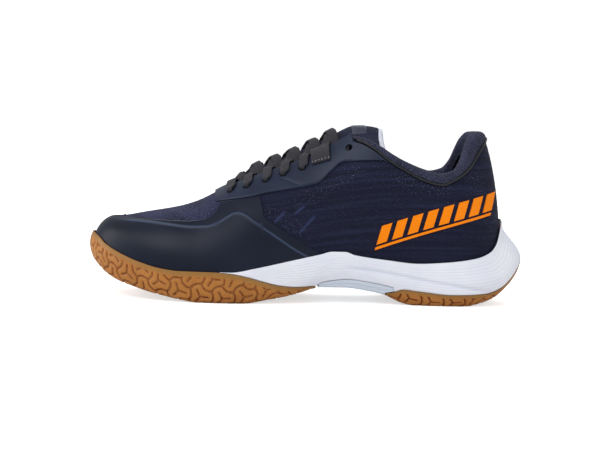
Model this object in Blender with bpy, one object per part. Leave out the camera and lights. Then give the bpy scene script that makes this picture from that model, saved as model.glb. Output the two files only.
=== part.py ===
"""A left court shoe on the floor, with its toe at -X and its outer (lateral) side at -Y."""

import math

import bmesh
import bpy
import numpy as np
from mathutils import Vector

MM = 0.001
MIDDLE = np.array([1.3, 1.4, 0.0])  # added to every place, so that the origin is under the middle of the shoe

# The upper's outer surface. All sizes are in millimetres, and heights are from the floor.
TOE_X, HEEL_X = -150.2, 136.5
TOE_FAN_X, TOE_FAN = -105.0, 22.0  # rows in front of this x lean back by up to this much
HEEL_FAN_X, HEEL_FAN = 53.0, 41.5  # rows behind this x lean forward by up to this much
TOE_ROUND_X, TOE_ROUND = -80.0, 2.6
HEEL_ROUND_X, HEEL_ROUND = 90.0, 2.3

# Layers of the upper, as depths below that surface: (outer face, inner face).
OVERLAY = (0.0, -0.8)
MESH = (-1.4, -2.4)
BACKING = (-1.3, -2.1)
STIFFENER = (-3.0, -4.1)
LINING = (-4.7, -5.5)
PRINT = (-0.7, -0.3)
TAB = (1.0, 0.35)
GAP = 0.45  # between neighbouring pieces
ROW_STEP = 0.04  # between rows of points, of which half the shoe has one

GUM_FLOOR = 4.8  # thickness of the outsole under the foot
GUM_WALL = 1.0
HEEL_GUM_WALL = 2.0
FOREFOOT_END_X, HEEL_START_X = 4.0, 52.0
CORE_START_X, CORE_END_X, MIDSOLE_WALL_X = -116.0, -60.0, -54.0  # the midsole shows on the side behind the last x
THIN_GUM_X = -64.0  # behind this x the midsole's lip lies between the gum and the upper
SHANK_X = (5.5, 57.0)
BOARD_THICK = 1.6
INSOLE_THICK = 4.2
INSOLE_EASE = 1.4  # between the insole and the lining
INSOLE_HINGE = (-138.0, 8.0, 27.0)

LACE_WIDE, LACE_THICK = 6.5, 1.2
EYELET = 5.6  # diameter
AGLET_LONG, AGLET_WIDE = 19.0, 3.0
PIPING = 1.6
TAB_X = (0.0, 12.0)
LABEL = (-1.0, -0.45)  # over the tongue's face


def curve(*points):
    """A smooth value along the shoe through (x, value) points, with no overshoot between them."""
    places, values = np.array(points, float).T
    steps = np.diff(places)
    slopes = np.diff(values) / steps
    tangents = np.zeros(len(places))
    tangents[0], tangents[-1] = slopes[0], slopes[-1]
    for i in range(1, len(places) - 1):
        if slopes[i - 1] * slopes[i] > 0:
            tangents[i] = 2 / (1 / slopes[i - 1] + 1 / slopes[i])

    def value(x):
        x = min(max(x, places[0]), places[-1])
        i = min(int(np.searchsorted(places, x, side="right")) - 1, len(steps) - 1)
        t = (x - places[i]) / steps[i]
        return (
            values[i] * (1 + 2 * t) * (1 - t) ** 2
            + values[i + 1] * t * t * (3 - 2 * t)
            + steps[i] * t * (1 - t) * (tangents[i] * (1 - t) - tangents[i + 1] * t)
        )

    return value


# Plan of the upper at its lower edge, measured from its spine.
spine_y = curve((-151, 9), (-125, 7.5), (-75, 5), (-25, 4), (25, 2.5), (75, 0.5), (100, 0), (136, 0))
half_lateral = curve(
    (-151, 38), (-125, 44), (-100, 49.5), (-60, 53), (-25, 49), (0, 44), (25, 40.5), (50, 38),
    (75, 36.5), (136, 35)
)
half_medial = curve(
    (-151, 30), (-125, 33.5), (-100, 38), (-75, 40.5), (-50, 38.5), (-25, 33.5), (0, 30), (25, 29.5),
    (50, 31.5), (75, 34), (136, 35)
)
# Heights along the upper: its lower edge, its crest (only a guide above the opening), and how square it is.
feather_z = curve(
    (-151, 31.5), (-140, 25.5), (-125, 20), (-100, 15), (-75, 12.5), (-50, 12.5), (-25, 14.5),
    (0, 18.5), (25, 22), (50, 24), (75, 25), (136, 25)
)
crest_z = curve(
    (-129, 55), (-116, 58), (-91, 63), (-79, 67), (-62, 76), (-45, 86), (-31, 92.5), (-8, 102.5),
    (15, 115), (25, 124), (40, 140), (60, 158), (84, 156), (95, 148)
)
roundness = curve(
    (-151, 2.3), (-100, 2.4), (-75, 2.1), (-50, 1.9), (0, 1.8), (25, 1.95), (60, 2.4), (100, 2.3),
    (136, 2.0)
)

# Side outlines that divide the upper into its panels.
throat_z = curve(
    (-62, 76), (-45, 83), (-31, 88.5), (-19, 93), (-8, 97), (6, 103.5), (15, 109.5), (22, 114),
    (26, 116.5)
)
eyestay_foot_z = curve((-66, 67.5), (-40, 72), (-33, 74), (-12, 78), (4, 82), (11, 89), (21, 97), (51, 99))
rim_z = curve(
    (24, 116.5), (35, 114), (45, 109), (53, 104), (63, 99), (76, 94), (87, 91.5), (96, 93.5),
    (102, 100), (106, 109), (110, 117), (115, 121.5), (120, 122), (124, 122)
)
piping_z = curve(
    (26, 113), (33, 111), (42, 106), (51, 99), (63, 92), (78, 85), (88, 83), (96, 86), (106, 93),
    (116, 107), (123, 116)
)
guard_top_z = curve((-151, 53), (-127, 54), (-88, 54), (-74, 55.5), (-66, 60.5), (-63, 67))
guard_rear_z = curve((-36, 72.5), (-34.5, 66), (-33, 59), (-25, 53), (-14, 46), (-4, 40), (5, 35))

# The sole's side outlines, and how far its wall stands out from the upper at each height.
sole_bottom_z = curve(
    (-151, 26), (-149, 22), (-145, 18.5), (-140, 15), (-132, 11.3), (-123, 8.8), (-112, 6),
    (-100, 3.6), (-88, 1.4), (-76, 0), (-45, 0), (-30, 2.2), (-18, 4.2), (-8, 6.6), (4, 10.4), (7, 11),
    (24, 11), (40, 9), (52, 6.3), (57, 4), (64, 1.2), (71, 0), (107, 0), (118, 1.8), (126, 4),
    (132, 6.5), (136.5, 8.5)
)
sole_top_z = curve(
    (-151, 43), (-145, 40), (-140, 36), (-128, 30), (-117, 26), (-100, 22), (-89, 21), (-55, 21),
    (-38, 24), (-16, 29), (6, 34), (14, 36), (23, 36), (29, 34), (51, 31), (73, 29), (90, 30),
    (113, 33), (124, 37), (129, 42), (133, 51), (136.5, 59)
)
gum_top_z = curve(
    (-151, 43), (-145, 40), (-140, 36), (-128, 30), (-117, 26), (-100, 22), (-89, 21), (-66, 21),
    (-55, 20), (-44, 18), (-33, 15), (-21, 12.4), (-10, 11.4), (4, 12)
)
heel_gum_top_z = curve(
    (52, 7.7), (57, 9), (63, 11), (74, 10), (96, 8.2), (119, 8.6), (128, 10), (133, 15), (135.5, 24),
    (136.5, 34)
)
shank_top_z = curve((3.5, 11.8), (9, 15), (25, 17), (42, 15), (60, 11.3))
SOLE_ROWS = (-88, -76, -66, -63, -60, -45, -30, -18, 9, 15, 25, 42, 60, 63, 67, 71, 89, 107, 118, 126)
FLARE_HEIGHTS = (0, 0.1, 0.2, 0.36, 0.52, 0.64, 0.74, 0.86, 1)
FLARE = (
    (-151, (-2.5, -0.6, 0.6, 1.6, 2.2, 2.4, 2.4, 2.3, 2.1)),
    (-125, (-1.5, 0.6, 1.5, 2.4, 2.7, 2.7, 2.5, 2.2, 1.8)),
    (-60, (-0.5, 1.4, 2.3, 3.1, 3.3, 3.3, 3.2, 3.1, 2.9)),
    (0, (-5, -2.4, -0.3, 1.6, 2.2, 2.4, 2.4, 2.2, 1.9)),
    (40, (-5, -3, -1.2, 0.6, 1.6, 2.1, 2.2, 1.9, 1.6)),
    (90, (0, 2.4, 3.8, 5, 5.2, 4.7, 4, 2.9, 1.8)),
    (120, (0, 3.2, 5.4, 7.4, 7.8, 6.6, 5, 3, 1.6)),
    (136.5, (0, 4.5, 8.5, 12.5, 13.5, 10.5, 6.5, 2, 1)),
)
flare_curves = [curve(*((x, row[k]) for x, row in FLARE)) for k in range(len(FLARE_HEIGHTS))]

# The collar's padding: how far its inner face lies below the upper's surface.
pad_depth = curve((20, 5.6), (35, 5.8), (50, 7.5), (65, 9.5), (90, 10.5), (136, 10.5))
pad_rise = curve((52, 0), (82, 1))

# The tongue: its crest, and how far it reaches to each side.
tongue_crest_z = curve(
    (-64, 73.5), (-45, 85.3), (-31, 91.8), (-8, 101.8), (15, 114), (22, 118), (28, 120.5), (38, 121),
    (46, 120), (50, 118.5)
)
tongue_half = curve((-64, 15), (-45, 24), (-20, 28), (5, 30), (20, 28), (35, 25), (50, 22))
throat_half = curve((-62, 4), (-50, 7), (-30, 10), (10, 11))
MEDIAL_THROAT = 0.72  # how much nearer to the spine the throat's medial edge is
TONGUE_X = (-64.0, 50.0)
TONGUE_ROWS = 11
TONGUE_DROP = 4.2  # below the eyestays, to let the lace pass
TONGUE_HINGE = (-64.0, 4.5, 70.0)
TONGUE_LAYERS = (("tongue_face", 0, 1.0), ("tongue_foam", 1.35, 5.4), ("tongue_lining", 5.75, 6.5))

EYELETS = ((-56, 74.3), (-45, 78.0), (-32, 82.5), (-20, 87.0), (-7, 91.5), (6, 97.5), (17, 105))
SPARE_EYELET = (24.5, 106.5)
# The lace's ends run back inside the collar: x, height and depth below the upper's surface.
TAIL = (
    (20, 102, -3.3), (22.5, 98.5, -4.5), (25, 94.5, -6.4), (27.5, 88.5, -7.1), (31, 80, -7.3),
    (35, 71, -7.5), (39, 63, -7.7),
)
AGLET_END = (47, 46, -8.6)


# The lace's middle under and over the eyestays, its least height over the tongue, and its section.
UNDER = BACKING[1] - 0.5 - LACE_THICK / 2
OVER = OVERLAY[0] + 0.6 + LACE_THICK / 2
LACE_CLEAR = 1.8
FLAT, FOLDED = (LACE_WIDE, LACE_THICK), (3.2, 1.9)


def row_at(x):
    """The row of the lateral side whose lower edge is at x. Rows run from 0 at the toe to 1 at the heel."""
    return math.acos(1 - 2 * (x - TOE_X) / (HEEL_X - TOE_X)) / math.pi


def station(row, crest=crest_z):
    """Lower edge, crest point, their heights and the squareness of a row: 0 to 1 lateral, 1 to 2 medial."""
    row = row % 2
    along = row if row <= 1 else 2 - row
    side, half = (-1, half_lateral) if row <= 1 else (1, half_medial)
    x = TOE_X + (HEEL_X - TOE_X) * (1 - math.cos(math.pi * along)) / 2
    toe = max(0, (TOE_ROUND_X - x) / (TOE_ROUND_X - TOE_X))
    heel = max(0, (x - HEEL_ROUND_X) / (HEEL_X - HEEL_ROUND_X))
    toe_width = max(0, 1 - toe**TOE_ROUND) ** (1 / TOE_ROUND)
    heel_width = max(0, 1 - heel**HEEL_ROUND) ** (1 / HEEL_ROUND)
    width = half(x) * toe_width * heel_width
    toe_lean = max(0, (TOE_FAN_X - x) / (TOE_FAN_X - TOE_X))
    heel_lean = max(0, (x - HEEL_FAN_X) / (HEEL_X - HEEL_FAN_X))
    top_x = x + TOE_FAN * toe_lean**2 - HEEL_FAN * heel_lean**2
    edge = np.array([x, spine_y(x) + side * width])
    top = np.array([top_x, spine_y(top_x)])
    return edge, top, feather_z(x), crest(top_x), roundness(x)


def on_surface(row, turn, crest=crest_z):
    """A point of the upper's surface. turn is 0 at the lower edge and a quarter turn at the crest."""
    edge, top, low, high, power = station(row, crest)
    turn = min(max(turn, 0), math.pi / 2)
    reach = max(math.cos(turn), 0) ** (2 / power)
    rise = math.sin(turn) ** (2 / power)
    plan = top + (edge - top) * reach
    return np.array([plan[0], plan[1], low + (high - low) * rise])


def outward(row, turn, crest=crest_z):
    along = on_surface(row + 0.004, turn, crest) - on_surface(row - 0.004, turn, crest)
    up = on_surface(row, turn + 0.02, crest) - on_surface(row, turn - 0.02, crest)
    normal = np.cross(along, up)
    return normal / np.linalg.norm(normal)


def turn_at(row, z):
    _, _, low, high, power = station(row)
    rise = min(max((z - low) / (high - low), 0), 1)
    return math.asin(rise ** (power / 2))


def turn_on(row, outline):
    """Where a row first rises to a side outline, given as a height at each x."""
    low, high = 0, math.pi / 2
    for _ in range(40):
        middle = (low + high) / 2
        x, _, z = on_surface(row, middle)
        if z < outline(x):
            low = middle
        else:
            high = middle
    return low


def at(row, z, depth):
    """A point at a height and at a depth below the surface, also under its lower edge."""
    turn = turn_at(row, z)
    point = on_surface(row, turn) + outward(row, max(turn, 0.03)) * depth
    point[2] += min(0, z - station(row)[2])
    return point


def plan_normal(row):
    along = station(row + 0.004)[0] - station(row - 0.004)[0]
    normal = np.array([along[1], -along[0]])
    return normal / np.linalg.norm(normal)


def sole_wall(row, z, inset=0.0):
    """A point on the sole's side, or that far inside it."""
    x = station(row)[0][0]
    bottom, top = sole_bottom_z(x), sole_top_z(x)
    height = (z - bottom) / (top - bottom)
    flare = np.interp(height, FLARE_HEIGHTS, [f(x) for f in flare_curves])
    point = on_surface(row, turn_at(row, z))
    plan = point[:2] + plan_normal(row) * (flare - inset)
    return np.array([plan[0], plan[1], z])


class Shape:
    """Collects faces by their corner points. Faces lying back to back cancel, so closed ends stay clean."""

    def __init__(self):
        self.index, self.points, self.faces = {}, [], {}

    def corner(self, point):
        key = tuple(int(round(c * 2000)) for c in point)
        if key not in self.index:
            self.index[key] = len(self.points)
            self.points.append(point)
        return self.index[key]

    def face(self, points):
        corners = [self.corner(p) for p in points]
        kept = [c for i, c in enumerate(corners) if c != corners[i - 1]]
        if len(set(kept)) < 3 or len(set(kept)) < len(kept):
            return
        key = frozenset(kept)
        if key in self.faces:
            del self.faces[key]
        else:
            self.faces[key] = kept

    def object(self, name, material, parent=None):
        mesh = bpy.data.meshes.new(name)
        shape = bmesh.new()
        corners = [shape.verts.new((np.array(p) + MIDDLE) * MM) for p in self.points]
        for face in self.faces.values():
            shape.faces.new([corners[c] for c in face])
        for corner in [v for v in shape.verts if not v.link_faces]:
            shape.verts.remove(corner)
        bmesh.ops.recalc_face_normals(shape, faces=shape.faces)
        bmesh.ops.triangulate(shape, faces=[f for f in shape.faces if len(f.verts) > 4])
        shape.to_mesh(mesh)
        shape.free()
        mesh.shade_smooth()
        mesh.set_sharp_from_angle(angle=math.radians(35))
        mesh.materials.append(material)
        thing = bpy.data.objects.new(name, mesh)
        bpy.context.scene.collection.objects.link(thing)
        if parent:
            parent_to(thing, parent)
        return thing


def pivot(name, place):
    """An empty on a joint's axis."""
    made = bpy.data.objects.new(name, None)
    made.location = (np.array(place) + MIDDLE) * MM
    bpy.context.scene.collection.objects.link(made)
    bpy.context.view_layer.update()
    return made


def parent_to(thing, parent):
    thing.parent = parent
    thing.matrix_parent_inverse = parent.matrix_world.inverted()


def thick_sheet(outer, inner):
    """A sheet between two grids of points, closed round its edges."""
    shape = Shape()
    rows, columns = len(outer), len(outer[0])
    for i in range(rows - 1):
        for j in range(columns - 1):
            shape.face([outer[i][j], outer[i + 1][j], outer[i + 1][j + 1], outer[i][j + 1]])
            shape.face([inner[i][j], inner[i][j + 1], inner[i + 1][j + 1], inner[i + 1][j]])
    for i in range(rows - 1):
        for j in (0, columns - 1):
            shape.face([outer[i][j], outer[i + 1][j], inner[i + 1][j], inner[i][j]])
    for j in range(columns - 1):
        for i in (0, rows - 1):
            shape.face([outer[i][j], outer[i][j + 1], inner[i][j + 1], inner[i][j]])
    return shape


def lofted(rings, caps=(True, True)):
    """A solid through closed rings of equal count."""
    shape = Shape()
    count = len(rings[0])
    for first, second in zip(rings, rings[1:]):
        for k in range(count):
            shape.face([first[k], second[k], second[(k + 1) % count], first[(k + 1) % count]])
    for ring, wanted in zip((rings[0], rings[-1]), caps):
        if wanted:
            shape.face(ring)
    return shape


def rows_between(start_x, end_x, extra=()):
    """Rows from one x to another, closer together at the toe and the heel, with rows at some exact places."""
    start, end = row_at(start_x), row_at(end_x)
    regular = [i * ROW_STEP for i in range(round(1 / ROW_STEP) + 1)]
    rows = [start, end] + [row for row in regular if start + ROW_STEP / 4 < row < end - ROW_STEP / 4]
    for x in extra:
        if start_x < x < end_x:
            rows.append(row_at(x))
    rows.sort()
    kept = [rows[0]]
    for row in rows[1:]:
        if row - kept[-1] > 4e-4:
            kept.append(row)
    return kept


def band(rows, low, high, depths, columns):
    """A panel along the sides. low and high give each row's turn, and depths may change over it."""
    outer, inner = [], []
    for row in rows:
        turns = np.linspace(low(row), high(row), columns)
        outer.append([])
        inner.append([])
        for turn in turns:
            point, normal = on_surface(row, turn), outward(row, max(turn, 0.03))
            top, bottom = depths(point[0], point[2]) if callable(depths) else depths
            outer[-1].append(point + normal * top)
            inner[-1].append(point + normal * bottom)
    return thick_sheet(outer, inner)


def over_the_top(rows, low, depths, columns):
    """A panel that crosses the crest from side to side."""
    outer, inner = [], []
    for row in rows:
        outer.append([])
        inner.append([])
        lateral = [(row, turn) for turn in np.linspace(low(row), math.pi / 2, columns)]
        medial = [(2 - row, turn) for turn in np.linspace(math.pi / 2, low(2 - row), columns)]
        for place, turn in lateral + medial[1:]:
            point, normal = on_surface(place, turn), outward(place, max(turn, 0.03))
            if turn > math.pi / 2 - 1e-6:
                normal = outward(row, turn) + outward(2 - row, turn)
                normal = normal / np.linalg.norm(normal)
            outer[-1].append(point + normal * depths[0])
            inner[-1].append(point + normal * depths[1])
    return thick_sheet(outer, inner)


def both_sides(rows):
    """Rows from the lateral side round the heel to the medial side."""
    return rows + [2 - row for row in reversed(rows[:-1])]


def round_the_toe(rows):
    """Rows from the medial side round the toe to the lateral side."""
    return [-row for row in reversed(rows[1:])] + rows


def seat(row):
    """The turn of the upper's lower edge."""
    return 0.0


def material(name, colour, roughness, metallic=0.0):
    made = bpy.data.materials.new(name)
    made.use_nodes = True
    shader = made.node_tree.nodes["Principled BSDF"]
    shader.inputs["Base Color"].default_value = (*colour, 1)
    shader.inputs["Roughness"].default_value = roughness
    shader.inputs["Metallic"].default_value = metallic
    made.diffuse_color = (*colour, 1)
    return made


def sole_ring(row, outer_levels, wall, floor, bottom):
    """One closed cross-section of a sole piece, from the lateral side to the medial side.

    outer_levels lists (height, inset) down the outside, wall lists them down the inside to the floor's edge,
    and floor and bottom are the heights at the spine.
    """
    sides = []
    for place in (row, 2 - row):
        outside = [sole_wall(place, z, inset) for z, inset in outer_levels]
        inside = [sole_wall(place, z, inset) for z, inset in wall]
        sides.append((outside, inside))
    spine = station(row)[1]
    spine_bottom = np.array([spine[0], spine[1], bottom])
    spine_floor = np.array([spine[0], spine[1], floor])
    (lateral_out, lateral_in), (medial_out, medial_in) = sides
    ring = lateral_out + [spine_bottom] + medial_out[::-1] + medial_in + [spine_floor] + lateral_in[::-1]
    return ring


def flat_end(ring, x):
    return [np.array([x, point[1], point[2]]) for point in ring]


def upper_inset(row, z, outside):
    """The inset of the sole wall that lies this far outside the upper."""
    x = station(row)[0][0]
    bottom, top = sole_bottom_z(x), sole_top_z(x)
    height = (z - bottom) / (top - bottom)
    return np.interp(height, FLARE_HEIGHTS, [f(x) for f in flare_curves]) - outside


def levels(low, high, count):
    return list(np.linspace(high, low, count))


def outsole_forefoot(rubber):
    rings = []
    rows = rows_between(TOE_X, FOREFOOT_END_X, SOLE_ROWS)
    for row in rows:
        x = station(row)[0][0]
        spine_x = station(row)[1][0]
        low, high = sole_bottom_z(x), gum_top_z(x)
        floor_edge = min(low + GUM_FLOOR, high - 0.8)
        spine_low = sole_bottom_z(spine_x)
        spine_floor = min(spine_low + GUM_FLOOR, gum_top_z(spine_x) - 0.8)
        outer = [(z, 0) for z in levels(low + 0.06 * (high - low), high, 5)] + [(low, 0)] + [(low, 9)]
        floor_inset = upper_inset(row, floor_edge, GAP)
        middle = feather_z(x) + 0.2
        if not floor_edge + 0.3 < middle < high - 0.3:
            middle = (high + floor_edge) / 2
        if x < THIN_GUM_X:
            inner = [(z, max(upper_inset(row, z, GAP), GUM_WALL)) for z in levels(middle, high, 4)]
            inner.append((floor_edge, max(floor_inset, 2.6 * GUM_WALL)))
        else:
            inner = [(z, GUM_WALL) for z in levels(middle, high, 4)] + [(floor_edge, GUM_WALL + 0.3)]
        rings.append(sole_ring(row, outer, inner, spine_floor, spine_low))
    rings[-1] = flat_end(rings[-1], FOREFOOT_END_X)
    return lofted(rings, (False, True)).object("outsole_forefoot", rubber)


def outsole_heel(rubber):
    rings = []
    rows = rows_between(HEEL_START_X, HEEL_X, (57.5,) + SOLE_ROWS)
    for row in rows:
        x = station(row)[0][0]
        spine_x = max(station(row)[1][0], HEEL_START_X)
        low, high = sole_bottom_z(x), heel_gum_top_z(x)
        floor_edge = min(low + GUM_FLOOR, high - 0.3)
        spine_low = sole_bottom_z(spine_x)
        spine_floor = min(spine_low + GUM_FLOOR, heel_gum_top_z(spine_x) - 0.3)
        outer = [(z, 0) for z in levels(low + 0.06 * (high - low), high, 5)] + [(low, 0.6)] + [(low, 9)]
        inner = [(z, HEEL_GUM_WALL) for z in levels((high + floor_edge) / 2, high, 2)]
        inner.append((floor_edge, HEEL_GUM_WALL + 0.3))
        rings.append(sole_ring(row, outer, inner, spine_floor, spine_low))
    rings[0] = flat_end(rings[0], HEEL_START_X)
    return lofted(rings, (True, False)).object("outsole_heel", rubber)


def arch_shank(plastic):
    rings = []
    for row in rows_between(*SHANK_X, (51.5,) + SOLE_ROWS):
        x = station(row)[0][0]
        high = shank_top_z(x)
        low = sole_bottom_z(x) if x < 51 else heel_gum_top_z(max(x, 52)) + GAP
        outer = [(z, 0) for z in levels(low + 0.3, high, 3)] + [(low, 0.8), (low, 12)]
        inner = [(high, 3), (high, 6)]
        rings.append(sole_ring(row, outer, inner, high, low))
    rings[0], rings[-1] = flat_end(rings[0], SHANK_X[0]), flat_end(rings[-1], SHANK_X[1])
    return lofted(rings).object("arch_shank", plastic)


def midsole(foam):
    rings = []
    ends = (CORE_END_X, (CORE_END_X + MIDSOLE_WALL_X) / 2, MIDSOLE_WALL_X, FOREFOOT_END_X + 0.7)
    ends += (SHANK_X[0] - GAP, SHANK_X[1] + GAP, SHANK_X[1] + 1.2)
    for row in rows_between(CORE_START_X, HEEL_X, ends + SOLE_ROWS):
        x = station(row)[0][0]
        spine_x = station(row)[1][0]
        shelf = feather_z(x) - 1.9
        spine_shelf = floor_z(row, 1000) - 1.9
        if x < CORE_END_X + 0.5:
            low = min(sole_bottom_z(x) + GUM_FLOOR + GAP, shelf - 0.8)
            spine_low = sole_bottom_z(spine_x) + GUM_FLOOR + GAP
            edge = upper_inset(row, shelf, 0) + 0.2
            outer = [(shelf, edge)] * 6 + [(low, edge + 1.5)]
            inner = [(shelf, edge)] * 4
            rings.append(sole_ring(row, outer, inner, spine_shelf, spine_low))
            continue
        high = sole_top_z(x)
        on_shank = SHANK_X[0] - 0.5 <= x <= SHANK_X[1] + 0.5
        if on_shank:
            edge_low = shank_top_z(x) + GAP
            floor_low = spine_low = edge_low
            step = 4
        elif x < SHANK_X[0]:
            edge_low = gum_top_z(x) + GAP
            floor_low = spine_low = min(sole_bottom_z(x) + GUM_FLOOR, gum_top_z(x) - 0.8) + GAP
            step = GUM_WALL + GAP
        else:
            edge_low = heel_gum_top_z(x) + GAP
            floor_low = min(sole_bottom_z(x) + GUM_FLOOR, heel_gum_top_z(x) - 0.3) + GAP
            centre_x = max(spine_x, SHANK_X[1] + GAP)
            spine_low = min(sole_bottom_z(centre_x) + GUM_FLOOR, heel_gum_top_z(centre_x) - 0.3) + GAP
            step = HEEL_GUM_WALL + GAP + 0.5
        lip = step if x < MIDSOLE_WALL_X - 0.5 else 0
        outer = [(z, lip) for z in levels(edge_low, high, 5)] + [(edge_low, step), (floor_low, step + 0.4)]
        inner = [(z, upper_inset(row, z, GAP)) for z in levels(feather_z(x) + 0.3, high, 3)]
        inner.append((shelf, max(upper_inset(row, shelf, GAP), 1.0)))
        rings.append(sole_ring(row, outer, inner, spine_shelf, spine_low))
    return lofted(rings, (True, False)).object("midsole", foam)


def floor_z(row, inset):
    """Height of the shoe's floor, level with the upper's lower edge, this far in from that edge."""
    edge, spine, low, _, _ = station(row)
    share = min(1, max(0, inset / max(np.linalg.norm(spine - edge), 1e-6)))
    return low + (feather_z(spine[0]) - low) * share


def plate(name, rows, inset, low, high, look, parent=None, lip=0.0):
    """A flat insert between two heights over the shoe's floor, with a raised lip round its edge."""
    rings = []
    for row in rows:
        sides = []
        for place in (row, 2 - row):
            edge, normal = station(place)[0], plan_normal(place)
            levels_in = []
            for depth, raised in ((inset, lip), (inset + 5, 0)):
                plan, ground = edge - normal * depth, floor_z(place, depth)
                levels_in.append([np.array([*plan, ground + height + raised]) for height in (high, low)])
            sides.append(levels_in)
        spine, ground = station(row)[1], floor_z(row, 1000)
        (lateral_edge, lateral_in), (medial_edge, medial_in) = sides
        middle_low, middle_high = (np.array([*spine, ground + height]) for height in (low, high))
        under = [lateral_edge[1], lateral_in[1], middle_low, medial_in[1], medial_edge[1]]
        over = [medial_edge[0], medial_in[0], middle_high, lateral_in[0], lateral_edge[0]]
        rings.append(under + over)
    return lofted(rings, (False, False)).object(name, look, parent)


def rim_height(row):
    return on_surface(row, turn_on(row, rim_z))[2]


def collar_knit(knit):
    rings = []
    for row in both_sides(rows_between(27, HEEL_X, (30, 36, 45, 60, 100))):
        rim = on_surface(row, turn_on(row, rim_z))
        seam = on_surface(row, turn_on(row, piping_z))
        depth = pad_depth(rim[0])
        bend = (depth + MESH[0]) / 2
        ring = []
        for wall, flip in ((0.0, False), (1.0, True)):
            outer_depth, inner_depth = MESH[0] - wall, -depth + wall
            radius = (outer_depth - inner_depth) / 2
            top = rim[2] - wall
            side = [(seam[2] + GAP, outer_depth), ((seam[2] + top - radius) / 2 + 0.3, outer_depth)]
            if side[1][0] < side[0][0] + 0.2:
                side[1] = (side[0][0] + 0.2, outer_depth)
            arc = []
            for step in range(5):
                angle = math.pi * step / 4
                height = max(top - radius + radius * math.sin(angle), side[1][0] + 0.2 * (1 + step))
                arc.append((height, (outer_depth + inner_depth) / 2 + radius * math.cos(angle)))
            inside = [(rim[2] - bend - 7.5, inner_depth)]
            line = side + arc + inside
            points = [at(row, z, d) for z, d in line]
            ring += points[::-1] if flip else points
        rings.append(ring)
    return lofted(rings).object("collar_knit", knit)


def tube(points, radius, sides=6):
    """A closed tube along points, with a round section."""
    points = [np.array(p, float) for p in points]
    rings = []
    for i, point in enumerate(points):
        ahead = points[min(i + 1, len(points) - 1)] - points[max(i - 1, 0)]
        ahead /= np.linalg.norm(ahead)
        across = np.cross(ahead, (0, 0, 1))
        across /= np.linalg.norm(across)
        up = np.cross(across, ahead)
        size = radius(i) if callable(radius) else radius
        rings.append(
            [
                point + size * (across * math.cos(a) + up * math.sin(a))
                for a in np.linspace(0, 2 * math.pi, sides, endpoint=False)
            ]
        )
    return lofted(rings)


def collar_piping(cord):
    points = []
    for row in both_sides(rows_between(34, HEEL_X, (40, 50, 60))):
        turn = turn_on(row, piping_z)
        points.append(on_surface(row, turn) + outward(row, turn) * 0.1)
    return tube(points, PIPING / 2).object("collar_piping", cord)


def tongue_point(x, across, depth):
    """A point of the tongue: across is -1 at its lateral edge and 1 at its medial edge."""
    row = row_at(x) if across <= 0 else 2 - row_at(x)
    guide = lambda place: tongue_crest_z(place) + 0.5
    edge, top, low, high, power = station(row, guide)
    width = abs(edge[1] - top[1])
    offset = abs(across) * min(tongue_half(x), 0.56 * width)
    rise = (1 - (offset / width) ** power) ** (1 / power)
    turn = math.asin(min(rise, 1) ** (power / 2))
    point = on_surface(row, turn, guide)
    normal = outward(row, turn, guide)
    if abs(across) < 0.02:
        normal = outward(row_at(x), turn, guide) + outward(2 - row_at(x), turn, guide)
        normal /= np.linalg.norm(normal)
    throat = throat_half(x) * (1 if across <= 0 else MEDIAL_THROAT)
    sink = TONGUE_DROP * min(1, offset / throat) ** 1.3
    sink = max(sink, 4.5 * min(1, max(0, (-47 - x) / 5)))
    return point - normal * (sink + depth * (1 - 0.55 * abs(across) ** 3))


def tongue(looks, hinge):
    made = []
    for (name, top, bottom), look in zip(TONGUE_LAYERS, looks):
        grids = []
        for depth in (top, bottom):
            grids.append(
                [
                    [tongue_point(x, across, depth) for across in np.linspace(-1, 1, 9)]
                    for x in np.linspace(*TONGUE_X, TONGUE_ROWS)
                ]
            )
        made.append(thick_sheet(*grids).object(name, look, hinge))
    return made


def side_spot(x, z, side, depth):
    """Point and facing at a place of the side view, on the lateral side (0) or the medial side (1)."""
    low, high = 0.0, 1.0
    for _ in range(30):
        row = (low + high) / 2
        if on_surface(row, turn_at(row, z))[0] < x:
            low = row
        else:
            high = row
    row = low if side == 0 else 2 - low
    turn = turn_at(row, z)
    normal = outward(row, turn)
    return on_surface(row, turn) + normal * depth, normal


def edge_spot(x, side, depth):
    """A place just past the edge of the throat."""
    row = row_at(x) if side == 0 else 2 - row_at(x)
    turn = min(turn_on(row, throat_z) + 0.02, math.pi / 2)
    normal = outward(row, turn)
    return on_surface(row, turn) + normal * depth, normal


def tongue_top_z(x, y):
    """Height of the tongue's face at a place of the plan."""
    across = []
    for share in np.linspace(-0.9, 0.9, 13):
        place = x
        for _ in range(3):
            place += x - tongue_point(place, share, 0)[0]
        across.append(tongue_point(place, share, 0))
    return np.interp(y, [p[1] for p in across], [p[2] for p in across])


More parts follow.
